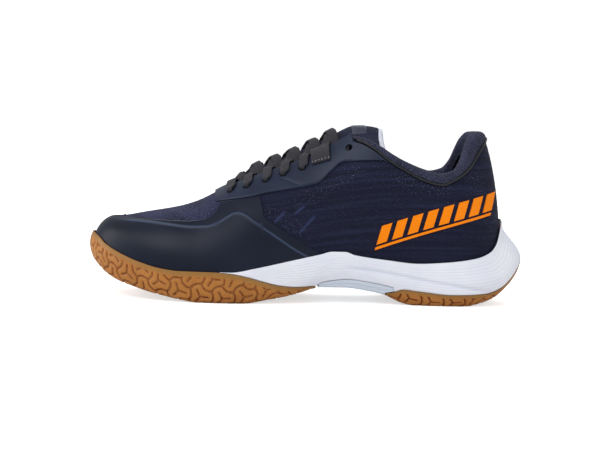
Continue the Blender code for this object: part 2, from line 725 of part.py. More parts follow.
def crossing(k, side, layer):
    """The lace from the top of one eyelet, across the tongue, to the underside of the next one."""
    (from_x, from_z), (to_x, to_z) = EYELETS[k], EYELETS[k + 1]
    start = side_spot(from_x + 1.2, from_z + 2.6, side, OVER)
    start_edge = edge_spot(from_x + 0.18 * (to_x - from_x), side, OVER)
    end_edge = edge_spot(to_x - 0.2 * (to_x - from_x), 1 - side, UNDER)
    end = side_spot(to_x - 1.2, to_z + 2.4, 1 - side, UNDER)
    found = [(*start, *FLAT), (*start_edge, *FLAT)]
    for t in (0.25, 0.5, 0.75):
        point = start_edge[0] + (end_edge[0] - start_edge[0]) * t
        lift = layer if t == 0.5 else layer * 0.5
        clearance = LACE_CLEAR + LACE_THICK / 2 + lift * (LACE_THICK + 0.5)
        x, y, z = point
        ground = tongue_top_z(x, y)
        slope_x = (tongue_top_z(x + 3, y) - tongue_top_z(x - 3, y)) / 6
        slope_y = (tongue_top_z(x, y + 3) - tongue_top_z(x, y - 3)) / 6
        normal = np.array([-slope_x, -slope_y, 1.0])
        point[2] = max(z, ground + clearance * np.linalg.norm(normal))
        found.append((point, normal / np.linalg.norm(normal), *FLAT))
    return found + [(*end_edge, *FLAT), (*end, *FLAT)]


def half_lace(side, layer):
    """From inside the first eyelet to the last one, then back inside the collar."""
    found = []
    last = len(EYELETS) - 1
    for k, (x, z) in enumerate(EYELETS[:-1]):
        for depth, size in ((UNDER, FOLDED), (-1.0, FOLDED), (OVER, FOLDED)):
            found.append((*side_spot(x, z, side, depth), *size))
        found += crossing(k, side, (k + layer) % 2)
        side = 1 - side
    for x, z, depth in TAIL:
        found.append((*side_spot(x, z, side, depth), 5.0, LACE_THICK))
    found[-1] = (*found[-1][:2], 2.0, LACE_THICK)
    return found, side


def lace(woven, plastic):
    """The lace as one flat band, and its two aglets."""
    lateral, lateral_side = half_lace(0, 0)
    medial, medial_side = half_lace(1, 1)
    bar = []
    for y in (-0.5, 0.0, 0.5):
        point, normal = on_surface(row_at(EYELETS[0][0]), math.pi / 2), np.array([0.0, 0.0, 1.0])
        reach = side_spot(*EYELETS[0], 1 if y > 0 else 0, UNDER)[0] - point
        place = point + np.array([0, reach[1] * abs(y), UNDER + (reach[2] - UNDER) * y * y])
        bar.append((place, normal, 3.6, LACE_THICK))
    stations = lateral[::-1] + bar + medial
    rings = []
    for i, (point, facing, wide, thick) in enumerate(stations):
        ahead = stations[min(i + 1, len(stations) - 1)][0] - stations[max(i - 1, 0)][0]
        ahead = ahead / np.linalg.norm(ahead)
        across = np.cross(ahead, facing)
        if abs(np.dot(ahead, facing)) > 0.9:
            across = previous - ahead * np.dot(previous, ahead)
        across = across / np.linalg.norm(across)
        if rings and np.dot(across, previous) < 0:
            across = -across
        previous = across
        up = np.cross(across, ahead)
        corners = ((-0.5, 0.4), (0.5, 0.4), (0.5, -0.4), (-0.5, -0.4))
        rings.append([point + across * wide * a + up * thick * b for a, b in corners])
    lofted(rings).object("lace", woven)
    ends = (lateral[-1][0], lateral_side), (medial[-1][0], medial_side)
    for name, (end, side) in zip(("aglet_1", "aglet_2"), ends):
        tip = side_spot(*AGLET_END[:2], side, AGLET_END[2])[0]
        direction = (tip - end) / np.linalg.norm(tip - end)
        start = end + direction * 0.5
        tube([start, start + direction * AGLET_LONG], AGLET_WIDE / 2).object(name, plastic)


def punch(thing, side, places, solver="EXACT"):
    """Cuts eyelet holes through a panel."""
    for number, (x, z) in enumerate(places):
        point, normal = side_spot(x, z, side, 0)
        shape = bmesh.new()
        radius = EYELET / 2 * MM
        bmesh.ops.create_cone(shape, cap_ends=True, segments=6, radius1=radius, radius2=radius, depth=9 * MM)
        mesh = bpy.data.meshes.new(f"hole_{thing.name}_{number}")
        shape.to_mesh(mesh)
        shape.free()
        cutter = bpy.data.objects.new(mesh.name, mesh)
        cutter.location = (point + MIDDLE) * MM
        cutter.rotation_mode = "QUATERNION"
        cutter.rotation_quaternion = Vector(normal).to_track_quat("Z", "Y")
        cutter.hide_render = True
        cutter.display_type = "WIRE"
        bpy.context.scene.collection.objects.link(cutter)
        cut = thing.modifiers.new(cutter.name, "BOOLEAN")
        cut.object = cutter
        cut.solver = solver


def thick_cells(outer, inner, filled):
    """A sheet made of the filled cells between two grids of points."""
    shape = Shape()
    for i in range(len(outer) - 1):
        for j in range(len(outer[0]) - 1):
            if not filled(i, j):
                continue
            ring = ((i, j), (i + 1, j), (i + 1, j + 1), (i, j + 1))
            shape.face([outer[a][b] for a, b in ring])
            shape.face([inner[a][b] for a, b in ring][::-1])
            for (a, b), (c, d) in zip(ring, ring[1:] + ring[:1]):
                shape.face([outer[a][b], outer[c][d], inner[c][d], inner[a][b]])
    return shape


def heel_graphic(ink):
    """A rising row of slanted bars on a thin rail, on the lateral side of the heel."""
    bars, wide, gap = 8, 7.0, 3.6
    edges = [0.0]
    for _ in range(bars):
        edges += [edges[-1] + wide, edges[-1] + wide + gap]
    edges = edges[:-1]
    grids = []
    for depth in PRINT[::-1]:
        grid = []
        for along in edges:
            column = []
            for up in (0, 0.14, 0.57, 1):
                x = 43 + along + up * 4.5
                z = 37.5 + 0.36 * (x - 43) - 0.0006 * (x - 43) ** 2 + up * 15
                column.append(side_spot(x, z, 0, depth)[0])
            grid.append(column)
        grids.append(grid)
    return thick_cells(*grids, lambda i, j: j == 0 or i % 2 == 0).object("heel_graphic", ink)


def patch(name, look, start_x, end_x, low, high, side, depths):
    """A small sewn-on piece between two places of the side view."""
    grids = []
    for depth in depths:
        grid = []
        for x in np.linspace(start_x, end_x, 4):
            grid.append([side_spot(x, z, side, depth)[0] for z in np.linspace(low(x), high(x), 3)])
        grids.append(grid)
    return thick_sheet(*grids).object(name, look)


def tab_foot(x):
    return eyestay_foot_z(x) + 3.5


def tab_top(x):
    return 90.4 + 0.5 * x


def main():
    for thing in list(bpy.data.objects):
        bpy.data.objects.remove(thing)
    rubber = material("gum_rubber", (0.42, 0.18, 0.045), 0.5)
    white_foam = material("white_foam", (0.78, 0.8, 0.88), 0.6)
    pale_plastic = material("pale_plastic", (0.68, 0.75, 0.87), 0.45)
    film = material("navy_film", (0.02, 0.028, 0.045), 0.55)
    mesh = material("navy_mesh", (0.035, 0.035, 0.09), 0.85)
    dark_mesh = material("dark_mesh", (0.014, 0.016, 0.035), 0.85)
    knit = material("slate_knit", (0.05, 0.05, 0.09), 0.9)
    lining = material("grey_lining", (0.04, 0.037, 0.036), 0.95)
    foam = material("grey_foam", (0.3, 0.3, 0.3), 0.9)
    board = material("board", (0.55, 0.5, 0.42), 0.9)
    black = material("black_trim", (0.01, 0.01, 0.012), 0.6)
    orange = material("orange_print", (1.0, 0.28, 0.0), 0.5)

    outsole_forefoot(rubber)
    outsole_heel(rubber)
    arch_shank(pale_plastic)
    midsole(white_foam)
    all_rows = rows_between(TOE_X, HEEL_X, (-60, 25))

    plate("strobel_board", all_rows, -MESH[1] + GAP, -0.9, -0.9 + BOARD_THICK, board)
    insole_hinge = pivot("insole_hinge", INSOLE_HINGE)
    plate("insole", all_rows, -LINING[1] + INSOLE_EASE, 1.2, 1.2 + INSOLE_THICK, foam, insole_hinge, 1.2)

    vamp_rows = rows_between(TOE_X, -61.5, (-100,))
    over_the_top(vamp_rows, seat, MESH, 8).object("vamp_mesh", mesh)
    over_the_top(rows_between(TOE_X, -67, (-100,)), lambda row: 0.12, LINING, 7).object("vamp_lining", lining)
    puff_rows = rows_between(TOE_X, -118)
    over_the_top(puff_rows, lambda row: 0.1, STIFFENER, 7).object("toe_puff", board)

    quarter_rows = both_sides(rows_between(-59.4, HEEL_X, (-45, -20, 5, 15, 25, 51)))

    def quarter_top(row):
        x = station(row)[0][0]
        if x < 51:
            return turn_on(row, lambda place: min(eyestay_foot_z(place) + 4, piping_z(place) - GAP))
        return turn_on(row, lambda place: piping_z(place) - GAP)

    band(quarter_rows, seat, quarter_top, MESH, 6).object("quarter_mesh", dark_mesh)

    def quarter_lining_depths(x, z):
        pad = (pad_depth(x) + LINING[1]) * pad_rise(z)
        return LINING[0] - max(pad, 0), LINING[1] - max(pad, 0)

    def lining_top(row):
        x = station(row)[0][0]
        if x < 27:
            return turn_on(row, lambda place: min(eyestay_foot_z(place) - 2, 91))
        return turn_at(row, min(rim_height(row) - 14.5, 91 if x < 50 else 200))

    lining_rows = both_sides(rows_between(-61, HEEL_X, (-20, 15, 26.5, 36, 51)))
    band(lining_rows, lambda row: 0.12, lining_top, quarter_lining_depths, 6).object("quarter_lining", lining)
    counter_rows = both_sides(rows_between(62, HEEL_X))
    counter = band(counter_rows, lambda row: 0.06, lambda row: turn_at(row, 60), STIFFENER, 5)
    counter.object("heel_counter", board)

    def foam_depths(x, z):
        return -2.9, -max(pad_depth(x) - 1.7, 3.7)

    foam_rows = both_sides(rows_between(40, HEEL_X, (60,)))

    def foam_top(row):
        x = station(row)[1][0]
        return turn_at(row, rim_height(row) - (pad_depth(x) - 1.4) / 2 - 0.9)

    def foam_foot(row):
        return turn_at(row, rim_height(row) - 13)

    band(foam_rows, foam_foot, foam_top, foam_depths, 3).object("collar_foam", foam)
    collar_knit(knit)
    collar_piping(black)

    guard_rows = round_the_toe(rows_between(TOE_X, 4, (-66, -60, -50, -37, -34, -25, -14)))

    def guard_top(row):
        x = station(row)[0][0]
        if x < -63:
            return turn_on(row, guard_top_z)
        if x < -36:
            return turn_on(row, lambda place: eyestay_foot_z(place) - GAP)
        return turn_on(row, guard_rear_z)

    def guard_foot(row):
        return turn_on(row, lambda place: sole_top_z(place) - 5)

    band(guard_rows, guard_foot, guard_top, OVERLAY, 6).object("toe_guard", film)
    eyestay_rows = rows_between(-66, 50, (-62, -45, 11, 26, 34, 42))

    def eyestay_top(row):
        x = station(row)[0][0]
        if x < -61:
            return math.pi / 2 - 0.04
        if x < 26.5:
            return turn_on(row, throat_z)
        return turn_on(row, lambda place: piping_z(place) - 1.7)

    def eyestay_foot(row):
        return turn_on(row, eyestay_foot_z)

    def backing_foot(row):
        return turn_on(row, lambda place: eyestay_foot_z(place) + 7)

    backing_rows = rows_between(-57, 24, (-45, 11))
    for side, name in enumerate(("lateral", "medial")):
        mirrored = (lambda rows: rows) if side == 0 else (lambda rows: [2 - row for row in rows])
        eyestay = band(mirrored(eyestay_rows), eyestay_foot, eyestay_top, OVERLAY, 4)
        punch(eyestay.object(f"eyestay_{name}", film), side, EYELETS[:-1] + (SPARE_EYELET,), "MANIFOLD")
        backing = band(mirrored(backing_rows), backing_foot, lambda row: turn_on(row, throat_z), BACKING, 3)
        punch(backing.object(f"eyestay_backing_{name}", black), side, EYELETS[:-1])
        patch(f"lace_tab_{name}", black, *TAB_X, tab_foot, tab_top, side, TAB)

    tongue_hinge = pivot("tongue_hinge", TONGUE_HINGE)
    tongue((knit, foam, lining), tongue_hinge)
    label_x = np.linspace(*TONGUE_X, TONGUE_ROWS)[-3:-1]
    label_across = np.linspace(-0.5, 0.5, 5)
    label = []
    for depth in LABEL:
        label.append([[tongue_point(x, across, depth) for across in label_across] for x in label_x])
    thick_sheet(*label).object("tongue_label", orange, tongue_hinge)
    lace(black, pale_plastic)
    heel_graphic(orange)


main()
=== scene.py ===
import math

import bmesh
import bpy
import numpy as np
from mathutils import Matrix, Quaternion, Vector


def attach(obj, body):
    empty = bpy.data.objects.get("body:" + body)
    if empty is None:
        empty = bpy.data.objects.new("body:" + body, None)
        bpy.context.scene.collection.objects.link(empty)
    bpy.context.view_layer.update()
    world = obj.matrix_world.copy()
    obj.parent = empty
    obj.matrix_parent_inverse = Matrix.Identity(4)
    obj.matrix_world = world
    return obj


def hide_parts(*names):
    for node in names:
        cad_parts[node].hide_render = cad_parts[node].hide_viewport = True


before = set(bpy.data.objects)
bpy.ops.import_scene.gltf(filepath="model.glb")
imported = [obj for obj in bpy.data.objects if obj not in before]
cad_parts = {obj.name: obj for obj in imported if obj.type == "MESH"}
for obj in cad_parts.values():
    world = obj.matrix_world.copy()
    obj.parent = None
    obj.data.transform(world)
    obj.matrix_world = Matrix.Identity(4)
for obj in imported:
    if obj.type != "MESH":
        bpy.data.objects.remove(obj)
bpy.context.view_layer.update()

mm = 0.001
middle = np.array([1.3, 1.4, 0.0])  # from the last's own centre line to the middle of the shoe
print("frame loaded")


# Camera, lights and floor

studio = {
    "target": (-0.0014, 0.0, 0.051),
    "distance": 1.0675,
    "lens": 90,
    "turn": -4.0,  # degrees towards the toe
    "height": 4.0,  # degrees above level
    "roll": 1.8,
    "floor": 4.0,
    "sky": 0.5,
    "floorGlow": 0.62,
}


def aim(thing, target, roll=0.0):
    forward = (Vector(target) - thing.location).normalized()
    turn = forward.to_track_quat("-Z", "Y") @ Quaternion((0, 0, 1), math.radians(roll))
    thing.rotation_mode = "QUATERNION"
    thing.rotation_quaternion = turn


def softBox(name, place, size, power, tint=(1, 1, 1)):
    light = bpy.data.lights.new(name, "AREA")
    light.shape = "RECTANGLE"
    light.size, light.size_y = size
    light.energy = power
    light.color = tint
    thing = bpy.data.objects.new(name, light)
    thing.location = place
    bpy.context.scene.collection.objects.link(thing)
    aim(thing, (0, 0, 0.05))


def buildStudio():
    camera = bpy.data.objects.new("camera", bpy.data.cameras.new("camera"))
    bpy.context.scene.collection.objects.link(camera)
    turn, height = math.radians(studio["turn"]), math.radians(studio["height"])
    flat = math.cos(height)
    away = Vector((math.sin(turn) * flat, -math.cos(turn) * flat, math.sin(height)))
    camera.location = Vector(studio["target"]) + away * studio["distance"]
    camera.data.lens = studio["lens"]
    aim(camera, studio["target"], studio["roll"])
    bpy.context.scene.camera = camera

    softBox("keyLight", (-0.9, -1.1, 1.5), (1.4, 1.0), 15)
    softBox("sideLight", (-1.6, 0.1, 0.7), (0.8, 1.2), 9)
    softBox("fillLight", (1.3, -1.3, 0.6), (1.2, 1.2), 5)
    softBox("rimLight", (0.4, 1.4, 1.3), (1.6, 0.8), 10)
    world = bpy.data.worlds.new("studioWorld")
    world.use_nodes = True
    sky = world.node_tree.nodes["Background"].inputs
    sky["Color"].default_value = (1, 1, 1, 1)
    # what the camera sees directly is white, and the light on the shoe is softer
    seen = world.node_tree.nodes.new("ShaderNodeLightPath")
    level = world.node_tree.nodes.new("ShaderNodeMath")
    level.operation = "MULTIPLY_ADD"
    level.inputs[1].default_value, level.inputs[2].default_value = 1.05 - studio["sky"], studio["sky"]
    world.node_tree.links.new(seen.outputs["Is Camera Ray"], level.inputs[0])
    world.node_tree.links.new(level.outputs[0], sky["Strength"])
    bpy.context.scene.world = world
    bpy.context.scene.view_settings.view_transform = "Standard"

    shape = bmesh.new()
    bmesh.ops.create_grid(shape, x_segments=1, y_segments=1, size=studio["floor"])
    mesh = bpy.data.meshes.new("floor")
    shape.to_mesh(mesh)
    shape.free()
    floor = bpy.data.objects.new("floor", mesh)
    bpy.context.scene.collection.objects.link(floor)
    pale = bpy.data.materials.new("paleFloor")
    pale.use_nodes = True
    paint = pale.node_tree.nodes["Principled BSDF"]
    paint.inputs["Base Color"].default_value = (0.9, 0.9, 0.9, 1)
    paint.inputs["Roughness"].default_value = 0.9
    seen = pale.node_tree.nodes.new("ShaderNodeLightPath")
    pale.node_tree.links.new(seen.outputs["Is Camera Ray"], paint.inputs["Emission Color"])
    paint.inputs["Emission Strength"].default_value = studio["floorGlow"]
    mesh.materials.append(pale)


# Material tools

def shade(red, green, blue):
    # from the 0 to 255 values of a colour picker
    linear = [((c / 255 + 0.055) / 1.055) ** 2.4 if c > 10 else c / 3294 for c in (red, green, blue)]
    return (*linear, 1)


class Wire:
    def __init__(self, look, socket):
        self.look, self.socket = look, socket

    def maths(self, operation, *others):
        values = dict(enumerate((self, *others)))
        return self.look.add("ShaderNodeMath", {"operation": operation}, values)

    def __add__(self, other):
        return self.maths("ADD", other)

    def __sub__(self, other):
        return self.maths("SUBTRACT", other)

    def __mul__(self, other):
        return self.maths("MULTIPLY", other)

    def __rsub__(self, other):
        return self.look.add("ShaderNodeMath", {"operation": "SUBTRACT"}, {0: other, 1: self})

    __radd__, __rmul__ = __add__, __mul__


class Look:
    def __init__(self, name, **sockets):
        self.material = bpy.data.materials.new(name)
        self.material.use_nodes = True
        self.tree = self.material.node_tree
        self.shader = self.tree.nodes["Principled BSDF"]
        self.set(**sockets)

    def set(self, **sockets):
        for key, value in sockets.items():
            title = "".join(" " + c if c.isupper() else c for c in key).strip().title()
            self.feed(self.shader.inputs[title.replace("I O R", "IOR")], value)

    def feed(self, socket, value):
        if isinstance(value, Wire):
            self.tree.links.new(value.socket, socket)
        else:
            socket.default_value = value

    def add(self, kind, settings=None, sockets=None, output=0):
        node = self.tree.nodes.new(kind)
        for key, value in (settings or {}).items():
            setattr(node, key, value)
        for key, value in (sockets or {}).items():
            self.feed(node.inputs[key], value)
        return Wire(self, node.outputs[output])

    def mix(self, first, second, factor):
        return self.add("ShaderNodeMix", {"data_type": "RGBA"}, {0: factor, 6: first, 7: second}, 2)

    def attribute(self, name):
        return self.add("ShaderNodeAttribute", {"attribute_name": name}, output="Fac")

    def cloth(self):
        vector = self.add("ShaderNodeUVMap", {"uv_map": "cloth"})
        return vector, *(self.add("ShaderNodeSeparateXYZ", None, {0: vector}, axis) for axis in (0, 1))

    def place(self):
        return self.add("ShaderNodeTexCoord", output="Object")

    def noise(self, vector, scale, detail=2.0):
        sockets = {"Vector": vector, "Scale": scale, "Detail": detail}
        return self.add("ShaderNodeTexNoise", None, sockets)

    def cells(self, vector, scale, feature="F1"):
        sockets = {"Vector": vector, "Scale": scale}
        return self.add("ShaderNodeTexVoronoi", {"feature": feature}, sockets)

    def spread(self, value, low, high):
        return self.add("ShaderNodeMapRange", {"clamp": True}, {0: value, 1: low, 2: high})

    def bump(self, height, distance, strength=1.0):
        sockets = {"Height": height, "Distance": distance, "Strength": strength}
        self.set(Normal=self.add("ShaderNodeBump", None, sockets))


# The last: the smooth surface that the upper is pulled over. Sizes in millimetres.

last = {
    "toe": -150.2,
    "heel": 136.5,
    "toeFanFrom": -105.0,
    "toeFan": 22.0,
    "heelFanFrom": 53.0,
    "heelFan": 41.5,
    "toeRoundFrom": -80.0,
    "toeRound": 2.6,
    "heelRoundFrom": 90.0,
    "heelRound": 2.3,
}


def outline(*points):
    places, values = np.array(points, float).T
    steps = np.diff(places)
    slopes = np.diff(values) / steps
    tangents = np.concatenate([slopes[:1], np.zeros(len(slopes) - 1), slopes[-1:]])
    for i in range(1, len(slopes)):
        if slopes[i - 1] * slopes[i] > 0:
            tangents[i] = 2 / (1 / slopes[i - 1] + 1 / slopes[i])

    def value(x):
        x = np.clip(x, places[0], places[-1])
        i = np.clip(np.searchsorted(places, x, side="right") - 1, 0, len(steps) - 1)
        t = (x - places[i]) / steps[i]
        ends = values[i] * (1 + 2 * t) * (1 - t) ** 2 + values[i + 1] * t * t * (3 - 2 * t)
        return ends + steps[i] * t * (1 - t) * (tangents[i] * (1 - t) - tangents[i + 1] * t)

    return value


spineY = outline((-151, 9), (-125, 7.5), (-75, 5), (-25, 4), (25, 2.5), (75, 0.5), (100, 0), (136, 0))
halfLateral = outline(
    (-151, 38), (-125, 44), (-100, 49.5), (-60, 53), (-25, 49), (0, 44), (25, 40.5), (50, 38),
    (75, 36.5), (136, 35)
)
halfMedial = outline(
    (-151, 30), (-125, 33.5), (-100, 38), (-75, 40.5), (-50, 38.5), (-25, 33.5), (0, 30), (25, 29.5),
    (50, 31.5), (75, 34), (136, 35)
)
featherHeight = outline(
    (-151, 31.5), (-140, 25.5), (-125, 20), (-100, 15), (-75, 12.5), (-50, 12.5), (-25, 14.5),
    (0, 18.5), (25, 22), (50, 24), (75, 25), (136, 25)
)
crestHeight = outline(
    (-129, 55), (-116, 58), (-91, 63), (-79, 67), (-62, 76), (-45, 86), (-31, 92.5), (-8, 102.5),
    (15, 115), (25, 124), (40, 140), (60, 158), (84, 156), (95, 148)
)
squareness = outline(
    (-151, 2.3), (-100, 2.4), (-75, 2.1), (-50, 1.9), (0, 1.8), (25, 1.95), (60, 2.4), (100, 2.3),
    (136, 2.0)
)
throatLine = outline(
    (-62, 76), (-45, 83), (-31, 88.5), (-19, 93), (-8, 97), (6, 103.5), (15, 109.5), (22, 114),
    (26, 116.5)
)
eyestayFoot = outline(
    (-66, 67.5), (-40, 72), (-33, 74), (-12, 78), (4, 82), (11, 89), (21, 97), (51, 99)
)
rimLine = outline(
    (24, 116.5), (35, 114), (45, 109), (53, 104), (63, 99), (76, 94), (87, 91.5), (96, 93.5),
    (102, 100), (106, 109), (110, 117), (115, 121.5), (120, 122), (124, 122)
)
pipingLine = outline(
    (26, 113), (33, 111), (42, 106), (51, 99), (63, 92), (78, 85), (88, 83), (96, 86), (106, 93),
    (116, 107), (123, 116)
)
guardTop = outline((-151, 53), (-127, 54), (-88, 54), (-74, 55.5), (-66, 60.5), (-63, 67))
guardRear = outline((-36, 72.5), (-34.5, 66), (-33, 59), (-25, 53), (-14, 46), (-4, 40), (5, 35))
soleBottom = outline(
    (-151, 26), (-149, 22), (-145, 18.5), (-140, 15), (-132, 11.3), (-123, 8.8), (-112, 6),
    (-100, 3.6), (-88, 1.4), (-76, 0), (-45, 0), (-30, 2.2), (-18, 4.2), (-8, 6.6), (4, 10.4), (7, 11),
    (24, 11), (40, 9), (52, 6.3), (57, 4), (64, 1.2), (71, 0), (107, 0), (118, 1.8), (126, 4),
    (132, 6.5), (136.5, 8.5)
)
soleTop = outline(
    (-151, 43), (-145, 40), (-140, 36), (-128, 30), (-117, 26), (-100, 22), (-89, 21), (-55, 21),
    (-38, 24), (-16, 29), (6, 34), (14, 36), (23, 36), (29, 34), (51, 31), (73, 29), (90, 30),
    (113, 33), (124, 37), (129, 42), (133, 51), (136.5, 59)
)
gumTop = outline(
    (-151, 43), (-145, 40), (-140, 36), (-128, 30), (-117, 26), (-100, 22), (-89, 21), (-66, 21),
    (-55, 20), (-44, 18), (-33, 15), (-21, 12.4), (-10, 11.4), (4, 12)
)
heelGumTop = outline(
    (52, 7.7), (57, 9), (63, 11), (74, 10), (96, 8.2), (119, 9), (127, 12.5), (131, 18), (134, 26),
    (136.5, 34)
)
shankTop = outline((3.5, 11.8), (9, 15), (25, 17), (42, 15), (60, 11.3))
padDepth = outline((20, 5.6), (35, 5.8), (50, 7.5), (65, 9.5), (90, 10.5), (136, 10.5))
padRise = outline((52, 0), (82, 1))
tongueCrest = outline(
    (-64, 73.5), (-45, 85.3), (-31, 91.8), (-8, 101.8), (15, 114), (22, 118), (28, 120.5), (38, 121),
    (46, 120), (50, 118.5)
)
tongueHalf = outline((-64, 15), (-45, 24), (-20, 28), (5, 30), (20, 28), (35, 25), (50, 22))
throatHalf = outline((-62, 4), (-50, 7), (-30, 10), (10, 11))
flareHeights = np.array([0, 0.1, 0.2, 0.36, 0.52, 0.64, 0.74, 0.86, 1])
flareTable = (
    (-151, (-2.5, -0.6, 0.6, 1.6, 2.2, 2.4, 2.4, 2.3, 2.1)),
    (-125, (-1.5, 0.6, 1.5, 2.4, 2.7, 2.7, 2.5, 2.2, 1.8)),
    (-60, (-0.5, 1.4, 2.3, 3.1, 3.3, 3.3, 3.2, 3.1, 2.9)),
    (0, (-5, -2.4, -0.3, 1.6, 2.2, 2.4, 2.4, 2.2, 1.9)),
    (40, (-5, -3, -1.2, 0.6, 1.6, 2.1, 2.2, 1.9, 1.6)),
    (90, (0, 2.4, 3.8, 5, 5.2, 4.7, 4, 2.9, 1.8)),
    (120, (0, 3.2, 5.4, 7.4, 7.8, 6.6, 5, 3, 1.6)),
    (136.5, (0, 4.5, 8.5, 12.5, 13.5, 10.5, 6.5, 2, 1)),
)
flareLines = [outline(*((x, row[k]) for x, row in flareTable)) for k in range(len(flareHeights))]


def rowAt(x):
    return math.acos(1 - 2 * (x - last["toe"]) / (last["heel"] - last["toe"])) / math.pi


def station(row, crest=crestHeight):
    row = np.mod(row, 2.0)
    medial = row > 1
    along = np.where(medial, 2 - row, row)
    x = last["toe"] + (last["heel"] - last["toe"]) * (1 - np.cos(np.pi * along)) / 2
    toe = np.clip((last["toeRoundFrom"] - x) / (last["toeRoundFrom"] - last["toe"]), 0, 1)
    heel = np.clip((x - last["heelRoundFrom"]) / (last["heel"] - last["heelRoundFrom"]), 0, 1)
    width = np.where(medial, halfMedial(x), -halfLateral(x))
    width = width * (1 - toe ** last["toeRound"]) ** (1 / last["toeRound"])
    width = width * (1 - heel ** last["heelRound"]) ** (1 / last["heelRound"])
    toeLean = np.clip((last["toeFanFrom"] - x) / (last["toeFanFrom"] - last["toe"]), 0, 1)
    heelLean = np.clip((x - last["heelFanFrom"]) / (last["heel"] - last["heelFanFrom"]), 0, 1)
    topX = x + last["toeFan"] * toeLean**2 - last["heelFan"] * heelLean**2
    edge = np.stack([x, spineY(x) + width], -1)
    top = np.stack([topX, spineY(topX)], -1)
    return edge, top, featherHeight(x), crest(topX), squareness(x)


def onLast(row, turn, crest=crestHeight):
    row, turn = np.broadcast_arrays(np.asarray(row, float), np.clip(turn, 0, math.pi / 2))
    edge, top, low, high, power = station(row, crest)
    reach = np.clip(np.cos(turn), 0, 1) ** (2 / power)
    rise = np.sin(turn) ** (2 / power)
    plan = top + (edge - top) * reach[..., None]
    return np.concatenate([plan, (low + (high - low) * rise)[..., None]], -1)


def unit(vectors):
    return vectors / np.maximum(np.linalg.norm(vectors, axis=-1, keepdims=True), 1e-9)


def outward(row, turn, crest=crestHeight):
    turn = np.maximum(turn, 0.03)
    along = onLast(np.add(row, 0.004), turn, crest) - onLast(np.subtract(row, 0.004), turn, crest)
    up = onLast(row, turn + 0.02, crest) - onLast(row, turn - 0.02, crest)
    return unit(np.cross(along, up))


def turnAt(row, z):
    _, _, low, high, power = station(row)
    return np.arcsin(np.clip((z - low) / (high - low), 0, 1) ** (power / 2))


def turnOn(row, line):
    low, high = np.zeros(np.shape(row)), np.full(np.shape(row), math.pi / 2)
    for _ in range(34):
        half = (low + high) / 2
        point = onLast(row, half)
        under = point[..., 2] < line(point[..., 0])
        low, high = np.where(under, half, low), np.where(under, high, half)
    return low


def under(row, z, depth):
    turn = turnAt(row, z)
    point = onLast(row, turn) + outward(row, turn) * np.asarray(depth, float)[..., None]
    point[..., 2] += np.minimum(0, z - station(row)[2])
    return point


def planNormal(row):
    along = station(np.add(row, 0.004))[0] - station(np.subtract(row, 0.004))[0]
    return unit(np.stack([along[..., 1], -along[..., 0]], -1))


def flareAt(x, height):
    values = np.stack([f(x) for f in flareLines])
    tangents = np.gradient(values, flareHeights, axis=0)
    i = np.clip(np.searchsorted(flareHeights, height, side="right") - 1, 0, len(flareHeights) - 2)
    step = flareHeights[i + 1] - flareHeights[i]
    t = np.clip((height - flareHeights[i]) / step, 0, 1)
    take = lambda table, index: np.take_along_axis(table, index[None], 0)[0]
    ends = take(values, i) * (1 + 2 * t) * (1 - t) ** 2 + take(values, i + 1) * t * t * (3 - 2 * t)
    return ends + step * t * (1 - t) * (take(tangents, i) * (1 - t) - take(tangents, i + 1) * t)


def soleWall(row, z, inset=0.0, grow=0.0):
    row, z, inset = np.broadcast_arrays(np.asarray(row, float), z, inset)
    x = station(row)[0][..., 0]
    bottom, top = soleBottom(x), soleTop(x)
    flare = flareAt(x, (z - bottom) / (top - bottom))
    plan = onLast(row, turnAt(row, z))[..., :2] + planNormal(row) * (flare - inset + grow)[..., None]
    return np.concatenate([plan, z[..., None]], -1)


def upperInset(row, z, outside):
    x = station(row)[0][..., 0]
    bottom, top = soleBottom(x), soleTop(x)
    return flareAt(x, (z - bottom) / (top - bottom)) - outside


def evenRows(start, end, step):
    fine = np.linspace(start, end, 1500)
    edge = station(fine)[0]
    length = np.concatenate([[0], np.cumsum(np.linalg.norm(np.diff(edge, axis=0), axis=1))])
    return np.interp(np.linspace(0, length[-1], max(int(length[-1] / step), 3)), length, fine)


def roundToe(x, step):
    return evenRows(-rowAt(x), rowAt(x), step)


def roundHeel(x, step):
    return evenRows(rowAt(x), 2 - rowAt(x), step)


def sideRows(start, end, side, step):
    rows = evenRows(rowAt(start), rowAt(end), step)
    return rows if side == 0 else 2 - rows


# Mesh tools

def measured(grid):
    along = np.linalg.norm(np.diff(grid, axis=0), axis=2).mean(axis=1)
    up = np.linalg.norm(np.diff(grid, axis=1), axis=2)
    u = np.concatenate([[0], np.cumsum(along)])[:, None] + np.zeros(grid.shape[1])
    v = np.concatenate([np.zeros((len(grid), 1)), np.cumsum(up, axis=1)], axis=1)
    return np.stack([u, v], -1).reshape(-1, 2)


def quadsOf(index):
    a, b, c, d = index[:-1, :-1], index[1:, :-1], index[1:, 1:], index[:-1, 1:]
    return np.stack([a, b, c, d], -1).reshape(-1, 4).tolist()


